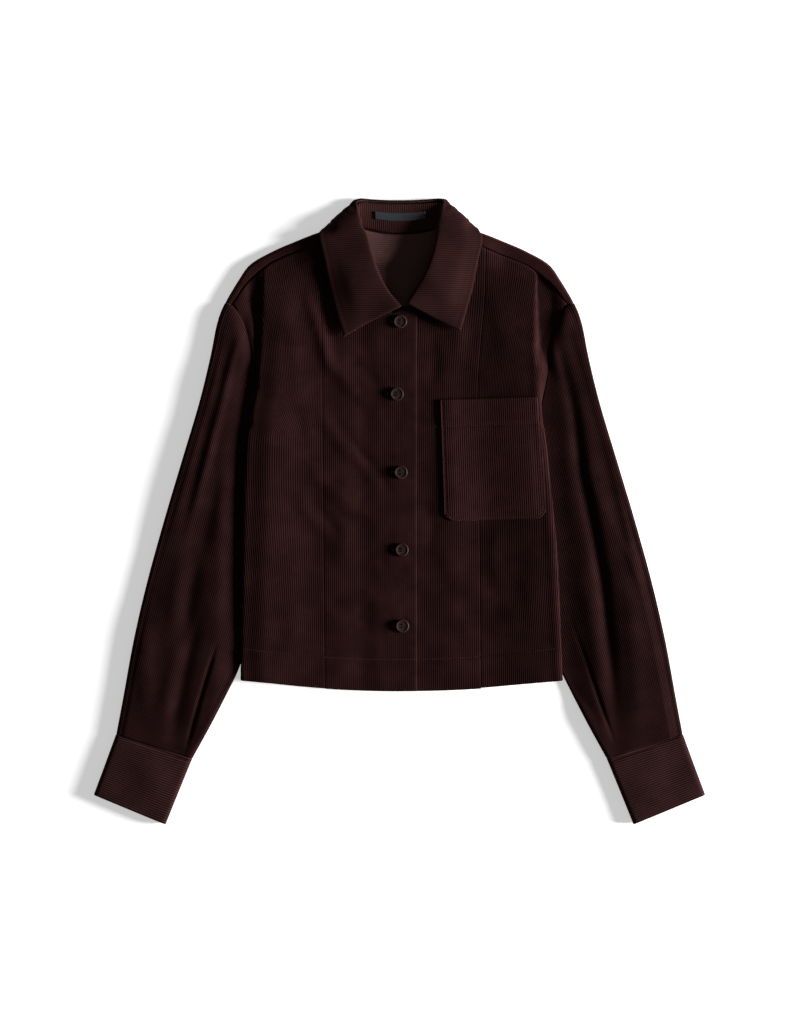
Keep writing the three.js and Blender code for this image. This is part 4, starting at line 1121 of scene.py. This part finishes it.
def stitch_mesh(name, chains, material, thick):
    """Stitches 2.3 mm long along chains of places, one in each 3.1 mm. Each is a spindle: four sides on three
    rings of radius thick * sin(pi t) ^ 0.5, and a point at each end that dips into the cloth."""
    pitch, length = 3.1, 2.3
    turn = np.arange(4) * np.pi / 2
    template = [(0, 0, -0.35)]
    for t in (0.18, 0.5, 0.82):
        radius = thick * np.sin(np.pi * t) ** 0.5
        rise = 0.25 * np.sin(np.pi * t)
        template += [(t, radius * np.cos(a), radius * np.sin(a) + rise) for a in turn]
    template.append((1, 0, -0.35))
    template = np.array(template)
    tris = [(0, 1 + (n + 1) % 4, 1 + n) for n in range(4)] + [(13, 9 + n, 9 + (n + 1) % 4) for n in range(4)]
    quads = [(1 + 4 * r + n, 1 + 4 * r + (n + 1) % 4, 5 + 4 * r + (n + 1) % 4, 5 + 4 * r + n)
             for r in range(2) for n in range(4)]
    places = []
    for chain in chains:
        count = int(chain_lengths(chain)[-1] / pitch)
        at = (np.arange(count) + 0.15) * pitch
        start, end = on_chain(chain, at), on_chain(chain, at + length)
        run = end - start
        side = level_side(run)
        x, y, z = template.T
        local = start[:, None] + run[:, None] * x[None, :, None] + side[:, None] * y[None, :, None]
        local[..., 2] += z
        places.append(local.reshape(-1, 3))
    places = np.concatenate(places)
    starts = (np.arange(len(places) // len(template)) * len(template))[:, None, None]
    groups = [((np.array(part)[None] + starts).reshape(-1, len(part[0])), None, 0) for part in (quads, tris)]
    return mesh_object(name, places, groups, [material])


def surface_line(xs, ys, height_of, lift=CLOTH / 2 - 0.05):
    """A chain of places that lies on a height."""
    xs, ys = np.broadcast_arrays(np.asarray(xs, float), np.asarray(ys, float))
    return np.stack([xs, ys, height_of(xs, ys) + lift], -1)


def hem_stitches():
    """The line that holds each front's hem."""
    chains = []
    for s, inner_x, height_of in ((-1, LAP_EDGE_X, lap_height), (1, LAP_EDGE_X + 3, creased_front)):
        xs = np.linspace(s * 186, inner_x, 140)
        chains.append(surface_line(xs, hem_y(xs) + HEM_DEPTH, height_of, CLOTH / 2 - 0.2))
    return chains


def pocket_stitches():
    """Round the pocket's sewn edges, and along its turned band."""
    top, bottom = POCKET["topInner"][1], POCKET["bottomInner"][1]
    height = lambda x, y: creased_front(x, y) + CLOTH + LAID
    radius = POCKET["radius"] - POCKET_STITCH
    down = np.linspace(top + 1, bottom + 13, 60)
    angle = np.linspace(0, np.pi / 2, 14)
    width = POCKET["topOuter"][0] - POCKET["topInner"][0]
    inset = POCKET_STITCH / width
    corner_y = bottom + POCKET_STITCH + radius * (1 - np.sin(angle))
    corner_in = inset + radius * (1 - np.cos(angle)) / width
    share = np.concatenate([np.full(60, inset), corner_in, 1 - corner_in[::-1], np.full(60, 1 - inset)])
    y = np.concatenate([down, corner_y, corner_y[::-1], down[::-1]]) + mix(0, 3.5, share)
    edges = surface_line(pocket_point(share, y), y, height)
    share = np.linspace(0.01, 0.99, 60)
    y = mix(top, POCKET["topOuter"][1], share) - POCKET_BAND
    return [edges, surface_line(pocket_point(share, y), y, height, CLOTH / 2 + 0.3)]


def tube(paths, radius, sides=8):
    """Tubes along closed or open chains: place + radius * (side cos a + up sin a), up being z."""
    places, quads = [], []
    start = 0
    angle = np.arange(sides) * 2 * np.pi / sides
    for path, closed in paths:
        path = np.asarray(path, float)
        run = np.roll(path, -1, 0) - np.roll(path, 1, 0) if closed else np.gradient(path, axis=0)
        side = level_side(run)
        up = unit(np.cross(run, side))
        size = np.full((len(path), 1, 1), float(radius))
        if not closed:
            size[[0, -1]] *= 0.05
        ring = path[:, None] + size * (side[:, None] * np.cos(angle)[None, :, None]
                                       + up[:, None] * np.sin(angle)[None, :, None])
        count = len(path)
        i = np.arange(count if closed else count - 1)[:, None]
        j = np.arange(sides)[None]
        follow, turn = (i + 1) % count, (j + 1) % sides
        cells = np.stack([i * sides + j, i * sides + turn, follow * sides + turn, follow * sides + j], -1)
        quads.append(cells.reshape(-1, 4) + start)
        places.append(ring.reshape(-1, 3))
        start += count * sides
    return np.concatenate(places), np.concatenate(quads)


def button_threads(material):
    """Two short runs of thread over each button, from hole to hole. The solid buttons rest on the plain
    cloth, so no crease counts in their height."""
    paths = []
    floor = FRONT_MID + LAP_STEP + CLOTH / 2 + UNDER_BUTTON + BUTTON_THICKNESS - BUTTON_RIM
    t = np.linspace(0, 1, 12)
    z = floor + 0.75 * np.sin(np.pi * t) ** 0.4 - 0.45
    for x, y in BUTTON_PLACES:
        for row in (-1, 1):
            for strand in (-0.35, 0.35):
                line = np.full(12, y + row * HOLE_PITCH / 2 + strand)
                paths.append((np.stack([x + (t - 0.5) * HOLE_PITCH * 1.05, line, z], -1), False))
    places, quads = tube(paths, 0.34)
    return mesh_object("button_thread", places, [(quads, None, 0)], [material])


def buttonholes(material):
    """A worked slit at the left of each button: a long loop of purl stitches, about 20 mm by 3.4 mm."""
    paths = []
    angle = np.linspace(0, 2 * np.pi, 90, endpoint=False)
    for x, y in BUTTON_PLACES:
        px = x - 2.4 + 9.2 * np.cos(angle)
        py = y + 1.1 * np.sign(np.sin(angle)) * np.abs(np.sin(angle)) ** 0.4
        paths.append((surface_line(px, py, lap_height, CLOTH / 2 + 0.25), True))
    places, quads = tube(paths, 0.62, 6)
    return mesh_object("buttonhole_stitching", places, [(quads, None, 0)], [material])


# Materials


def linear(colour):
    """An sRGB hex value as linear red, green, blue and alpha."""
    value = np.array([int(colour[n:n + 2], 16) / 255 for n in (1, 3, 5)])
    value = np.where(value <= 0.04045, value / 12.92, ((value + 0.055) / 1.055) ** 2.4)
    return (*map(float, value), 1.0)


def add_node(tree, kind, output, settings=None):
    """Adds a node and returns one of its output sockets. A setting is an attribute, an input's value, another
    node's socket that is linked into an input, or the places and colours of a colour ramp."""
    node = tree.nodes.new(kind)
    for key, value in (settings or {}).items():
        if key == "stops":
            elements = node.color_ramp.elements
            elements[0].position, elements[0].color = value[0][0], linear(value[0][1])
            elements[1].position, elements[1].color = value[-1][0], linear(value[-1][1])
            for place, colour in value[1:-1]:
                elements.new(place).color = linear(colour)
        elif isinstance(value, bpy.types.NodeSocket):
            tree.links.new(value, node.inputs[key])
        elif isinstance(key, int) or key in node.inputs:
            node.inputs[key].default_value = value
        else:
            setattr(node, key, value)
    return node.outputs[output]


def new_material(name, roughness, specular, **sockets):
    material = bpy.data.materials.new(name)
    material.use_nodes = True
    shader = material.node_tree.nodes["Principled BSDF"]
    for key, value in {"Roughness": roughness, "Specular IOR Level": specular, **sockets}.items():
        shader.inputs[key.replace("_", " ")].default_value = value
    return material, material.node_tree


def finish(material, tone, stops, height=None, strength=0.3, distance=0.0002):
    """Gives a material its colour, which is a tone through colour stops or a colour itself, and its bump."""
    tree = material.node_tree
    inputs = tree.nodes["Principled BSDF"].inputs
    if stops:
        tone = add_node(tree, "ShaderNodeValToRGB", "Color", {"Fac": tone, "stops": stops})
    tree.links.new(tone, inputs["Base Color"])
    if height is not None:
        bump = {"Strength": strength, "Distance": distance, "Height": height}
        tree.links.new(add_node(tree, "ShaderNodeBump", "Normal", bump), inputs["Normal"])
    return material


def corduroy(name, colours, relief_in_mesh=True, painted_groove_shade="#a49a9a"):
    """Cotton corduroy: cut pile stands in wales 2.5 mm apart. Its colour has painted shade in the grooves and
    a painted highlight on the wale tops, over the pile's own brown; the pile is matt, and its lie varies in
    soft patches. colours are groove (painted shade), flank, crest (painted highlight), wear."""
    groove, flank, crest, wear = colours.split()
    material, tree = new_material(
        name, 1.0, 0.02, Sheen_Weight=0.2, Sheen_Roughness=0.3, Sheen_Tint=linear("#e0a8a4"),
    )
    cloth = add_node(tree, "ShaderNodeUVMap", "UV", {"uv_map": "Cloth"})
    place = add_node(tree, "ShaderNodeTexCoord", "Object")
    across = add_node(tree, "ShaderNodeSeparateXYZ", "X", {0: cloth})
    # The pile wanders a little, 0.12 mm either way over 9 mm
    wander = add_node(tree, "ShaderNodeTexNoise", "Fac", {"Vector": place, "Scale": 110.0, "Detail": 2.0})
    shift = add_node(tree, "ShaderNodeMath", 0,
                     {"operation": "MULTIPLY_ADD", 0: wander, 1: 0.00024, 2: -0.00012})
    across = add_node(tree, "ShaderNodeMath", 0, {"operation": "ADD", 0: across, 1: shift})
    # From 0 in the middle of a groove to 0.5 on the crest of a wale
    wales = add_node(tree, "ShaderNodeMath", 0, {"operation": "MULTIPLY", 0: across, 1: 1000 / WALE})
    share = add_node(tree, "ShaderNodeMath", 0, {"operation": "PINGPONG", 0: wales, 1: 0.5})
    # Tufts of pile along a wale, 0.9 mm apart and half a millimetre across
    tufts = add_node(tree, "ShaderNodeMapping", "Vector", {"Scale": (2000.0, 1100.0, 1.0), "Vector": cloth})
    tuft = add_node(tree, "ShaderNodeTexNoise", "Fac",
                    {"Vector": tufts, "Scale": 1.0, "Detail": 2.0, "Roughness": 0.6})
    push = add_node(tree, "ShaderNodeMath", 0, {"operation": "MULTIPLY_ADD", 0: tuft, 1: 0.26, 2: -0.13})
    tone = add_node(tree, "ShaderNodeMath", 0, {"operation": "MULTIPLY_ADD", 0: share, 1: 2.0, 2: push})
    # Colour across each wale: painted shade in the groove and a painted highlight on the crest, over the
    # pile's own colour
    colour = add_node(tree, "ShaderNodeValToRGB", "Color",
                      {"Fac": tone, "stops": [(0.08, groove), (0.45, flank), (0.95, crest)]})
    # Patches where the nap lies another way, about 30 mm wide
    patch = add_node(tree, "ShaderNodeTexNoise", "Fac",
                     {"Vector": place, "Scale": 34.0, "Detail": 3.0, "Roughness": 0.55})
    patch_share = add_node(tree, "ShaderNodeMapRange", "Result",
                           {"From Min": 0.4, "From Max": 0.7, "To Max": 0.34, "Value": patch})
    worn = add_node(tree, "ShaderNodeMix", 2, {
        "data_type": "RGBA", "blend_type": "MIX", "Factor": patch_share, 6: colour, 7: linear(wear),
    })
    # Painted shade: the colour is darkened again in each groove, by this ramp multiplied over it
    painted_groove_darkening = add_node(tree, "ShaderNodeValToRGB", "Color",
                           {"Fac": share, "stops": [(0.02, painted_groove_shade), (0.3, "#ffffff")]})
    shaded = add_node(tree, "ShaderNodeMix", 2, {
        "data_type": "RGBA", "blend_type": "MULTIPLY", "Factor": 1.0, 6: worn, 7: painted_groove_darkening,
    })
    # Bump: tufts of 0.14 mm, and the wale itself where the mesh doesn't carry it
    height = add_node(tree, "ShaderNodeMath", 0, {"operation": "MULTIPLY", 0: tuft, 1: 0.35})
    if not relief_in_mesh:
        height = add_node(tree, "ShaderNodeMath", 0,
                          {"operation": "MULTIPLY_ADD", 0: share, 1: 2.4, 2: height})
    return finish(material, shaded, None, height, 0.55, 0.0004)


def corduroy_back(name, dark, light):
    """The wrong side of corduroy: a plain cotton ground, paler and matt, with a fine line under each wale."""
    material, tree = new_material(name, 1.0, 0.02)
    cloth = add_node(tree, "ShaderNodeUVMap", "UV", {"uv_map": "Cloth"})
    across = add_node(tree, "ShaderNodeSeparateXYZ", "X", {0: cloth})
    wales = add_node(tree, "ShaderNodeMath", 0, {"operation": "MULTIPLY", 0: across, 1: 1000 / WALE})
    line = add_node(tree, "ShaderNodeMath", 0, {"operation": "PINGPONG", 0: wales, 1: 0.5})
    grid = add_node(tree, "ShaderNodeMapping", "Vector", {"Scale": (2400.0, 2400.0, 1.0), "Vector": cloth})
    thread = add_node(tree, "ShaderNodeTexNoise", "Fac", {"Vector": grid, "Scale": 1.0, "Detail": 1.0})
    tone = add_node(tree, "ShaderNodeMath", 0, {"operation": "MULTIPLY_ADD", 0: line, 1: 1.1, 2: thread})
    return finish(material, tone, [(0.35, dark), (0.95, light)], tone, 0.5, 0.0004)


def satin(name):
    """Woven satin: long warp floats, smooth and darkly glossy along one way, with a fine thread line."""
    material, tree = new_material(name, 0.45, 0.3)
    cloth = add_node(tree, "ShaderNodeUVMap", "UV", {"uv_map": "Cloth"})
    grid = add_node(tree, "ShaderNodeMapping", "Vector", {"Scale": (300.0, 4000.0, 1.0), "Vector": cloth})
    thread = add_node(tree, "ShaderNodeTexNoise", "Fac", {"Vector": grid, "Scale": 1.0, "Detail": 2.0})
    return finish(material, thread, [(0.3, "#232428"), (0.75, "#3e3f45")], thread)


def horn_polyester(name):
    """Polyester cast to look like dark horn: smoky clouds under a half matt finish."""
    material, tree = new_material(name, 0.6, 0.06, IOR=1.5)
    place = add_node(tree, "ShaderNodeTexCoord", "Object")
    cloud = add_node(tree, "ShaderNodeTexNoise", "Fac",
                     {"Vector": place, "Scale": 130.0, "Detail": 4.0, "Distortion": 1.2})
    fine = add_node(tree, "ShaderNodeTexNoise", "Fac", {"Vector": place, "Scale": 1500.0, "Detail": 1.0})
    rough = add_node(tree, "ShaderNodeMapRange", "Result", {"To Min": 0.5, "To Max": 0.65, "Value": fine})
    tree.links.new(rough, tree.nodes["Principled BSDF"].inputs["Roughness"])
    return finish(material, cloud, [(0.3, "#1b1110"), (0.55, "#291c19"), (0.75, "#392924")])


def spun_thread(name, dark, light):
    """Spun polyester sewing thread: two twisted plies, so it is faintly barred every half millimetre."""
    material, tree = new_material(name, 0.7, 0.15)
    place = add_node(tree, "ShaderNodeTexCoord", "Object")
    ply = add_node(tree, "ShaderNodeTexNoise", "Fac", {"Vector": place, "Scale": 1800.0, "Detail": 1.0})
    return finish(material, ply, [(0.35, dark), (0.7, light)], ply)


def paper_sweep(name):
    """White paper backdrop on a light table: matt, with a very faint tooth, and lit a little from below."""
    material, tree = new_material(name, 0.95, 0.1, Emission_Strength=0.49, Emission_Color=linear("#ffffff"))
    place = add_node(tree, "ShaderNodeTexCoord", "Object")
    tooth = add_node(tree, "ShaderNodeTexNoise", "Fac", {"Vector": place, "Scale": 600.0, "Detail": 2.0})
    return finish(material, tooth, [(0.3, "#f4f4f4"), (0.7, "#f8f8f8")])


# Camera, floor and light first, then the jacket

FRAME_HEIGHT = 1.2252
CAMERA_OVER = (0.0006, 0.00024)
CAMERA_HEIGHT = 3.0
AIM_HEIGHT = 0.008
SENSOR = 36.0
PAPER_Z = -0.4
PAPER_REACH = 3000.0
KEY_PLACE = (6.2, -0.2, 1.38)
KEY_SIZE = 2.0
KEY_POWER = 1830
ROOM_LIGHT = 0.1


def camera():
    """Straight above the middle of the photo's frame, which is 800 by 1021 at 1.2 mm a pixel."""
    data = bpy.data.cameras.new("camera")
    data.sensor_fit = "VERTICAL"
    data.sensor_height = SENSOR
    data.lens = SENSOR * CAMERA_HEIGHT / FRAME_HEIGHT
    thing = bpy.data.objects.new("camera", data)
    thing.location = (*CAMERA_OVER, CAMERA_HEIGHT + AIM_HEIGHT)
    bpy.context.scene.collection.objects.link(thing)
    bpy.context.scene.camera = thing


def floor():
    corners = ((-1, -1), (1, -1), (1, 1), (-1, 1))
    places = np.array([(x * PAPER_REACH, y * PAPER_REACH, PAPER_Z) for x, y in corners])
    faces = [(np.array([[0, 1, 2, 3]]), None, 0)]
    mesh_object("paper_floor", places, faces, [paper_sweep("white_paper")])


def area_light(name, place, target, size, power):
    data = bpy.data.lights.new(name, "AREA")
    data.shape = "DISK"
    data.size = size
    data.energy = power
    thing = bpy.data.objects.new(name, data)
    place, target = np.array(place, float), np.array(target, float)
    way = target - place
    way /= np.linalg.norm(way)
    thing.location = place
    thing.rotation_euler = (np.arccos(-way[2]), 0, np.arctan2(way[1], way[0]) - np.pi / 2)
    bpy.context.scene.collection.objects.link(thing)


def light():
    """A large soft key, far to the right and low, so that it grazes the wales and draws a wide soft shadow
    on the left, and a dim room. The paper lies on a light table, so it stays white round that shadow."""
    area_light("key", KEY_PLACE, (0, 0, 0), KEY_SIZE, KEY_POWER)
    world = bpy.data.worlds.new("pale_room")
    world.use_nodes = True
    background = world.node_tree.nodes["Background"].inputs
    background["Color"].default_value = linear("#f6f7fa")
    background["Strength"].default_value = ROOM_LIGHT
    bpy.context.scene.world = world
    bpy.context.scene.view_settings.view_transform = "Standard"


camera()
floor()
light()

BODY_CLOTH = corduroy("cotton_corduroy", "#0c0606 #1c0d0d #2e1718 #38201f")
SLEEVE_CLOTH = corduroy("cotton_corduroy_sleeve", "#0b0505 #190b0b #2a1516 #331d1c")
POCKET_CLOTH = corduroy("cotton_corduroy_pocket", "#100808 #271414 #3e2222 #492b2b")
# The collar and stand carry less painted shade in their grooves
COLLAR_CLOTH = corduroy("cotton_corduroy_collar", "#1e100f #241312 #2b1817 #331f1d", painted_groove_shade="#d0caca")
STAND_CLOTH = corduroy("cotton_corduroy_stand", "#1f1110 #301b19 #422826 #4b302e", painted_groove_shade="#b8b0b0")
CUFF_CLOTH = corduroy("cotton_corduroy_cuff", "#180c0c #261414 #372120 #3f2727")
YOKE_CLOTH = corduroy("cotton_corduroy_yoke", "#0d0707 #1f0f0f #321918 #3b2120")
BACK_CLOTH = corduroy("cotton_corduroy_flat", "#0c0606 #1d0d0d #2f1716 #391f1e", relief_in_mesh=False)
WRONG_SIDE = corduroy_back("corduroy_ground_weave", "#412928", "#614442")
LABEL_SATIN = satin("woven_satin")
HORN = horn_polyester("cast_polyester_horn")
THREAD = spun_thread("spun_polyester_thread", "#0a0505", "#170c0c")
# Seam thread paler than the cloth: its pale colour is partly a painted highlight along the hem's fold and the
# pocket's edges
SEAM_THREAD_PAINTED_HIGHLIGHT = spun_thread("spun_polyester_seam_thread_painted_highlight", "#2c1716", "#4d2e2b")
PALE_THREAD = spun_thread("spun_polyester_thread_pale", "#2c1c1b", "#4d3836")

body, yoke, back, sleeves, cuffs = (
    [cloth, WRONG_SIDE] for cloth in (BODY_CLOTH, YOKE_CLOTH, BACK_CLOTH, SLEEVE_CLOTH, CUFF_CLOTH)
)

# Each cloth by its node: the object, its slot, the width and length of the cut that shows in metres, its flat
# area, and what it lies on
CLOTHS = {
    "back_body": (
        back_body("back_body_cloth", back), "corduroy", (0.393, 0.44), 0.144, "paper_floor"),
    "back_yoke": (
        back_yoke("back_yoke_cloth", yoke), "corduroy_yoke", (0.497, 0.147), 0.0483, "paper_floor"),
    "front_right_centre": (
        front_centre("front_right_centre_cloth", -1, LAP_EDGE_X, lap_height, body),
        "corduroy", (0.115, 0.54), 0.056, "front_left_centre_cloth"),
    "front_right_side": (
        front_side("front_right_side_cloth", -1, body),
        "corduroy", (0.13, 0.534), 0.0558, "back_body_cloth"),
    "front_left_centre": (
        front_centre("front_left_centre_cloth", 1, UNDER_EDGE_X, creased_front, body),
        "corduroy", (0.113, 0.54), 0.0564, "back_body_cloth"),
    "front_left_side": (
        front_side("front_left_side_cloth", 1, body),
        "corduroy", (0.121, 0.529), 0.0513, "back_body_cloth"),
    "collar_stand": (
        collar_stand("collar_stand_cloth", [STAND_CLOTH, STAND_CLOTH]),
        "corduroy_collar", (0.367, 0.034), 0.0071, "back_yoke_cloth"),
    "collar_leaf": (
        collar_leaf("collar_leaf_cloth", [COLLAR_CLOTH, COLLAR_CLOTH]),
        "corduroy_collar", (0.466, 0.083), 0.0252, "collar_stand_cloth"),
    "neck_label": (
        neck_label("neck_label_satin", LABEL_SATIN),
        "satin", (0.061, 0.0102), 0.00061, "collar_stand_cloth"),
    "sleeve_right": (
        sleeve("sleeve_right_cloth", -1, sleeves), "corduroy", (0.344, 0.536), 0.116, "paper_floor"),
    "sleeve_left": (
        sleeve("sleeve_left_cloth", 1, sleeves), "corduroy", (0.344, 0.536), 0.1166, "paper_floor"),
    **{f"cuff_{side}": (
        cuff(f"cuff_{side}_cloth", s, cuffs), "corduroy_cuff", (0.194, 0.081), 0.0155, "paper_floor")
        for s, side in ((-1, "right"), (1, "left"))},
    "pocket": (
        pocket("pocket_cloth", [POCKET_CLOTH, WRONG_SIDE]),
        "corduroy", (0.124, 0.146), 0.0177, "front_left_centre_cloth"),
}
for node, (piece, slot, *_) in CLOTHS.items():
    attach(piece, "root")
    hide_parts(node)

# Sewing rides on the jacket
sewing = [
    # The hem and pocket rows use the paler seam thread, which partly paints a highlight along them
    stitch_mesh("hem_stitching", hem_stitches(), SEAM_THREAD_PAINTED_HIGHLIGHT, 0.27),
    stitch_mesh("pocket_stitching", pocket_stitches(), SEAM_THREAD_PAINTED_HIGHLIGHT, 0.22),
    button_threads(THREAD),
    buttonholes(PALE_THREAD),
]
for piece in sewing:
    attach(piece, "root")

for number in range(1, 6):
    for material_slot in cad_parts[f"button_{number}"].material_slots:
        material_slot.material = HORN
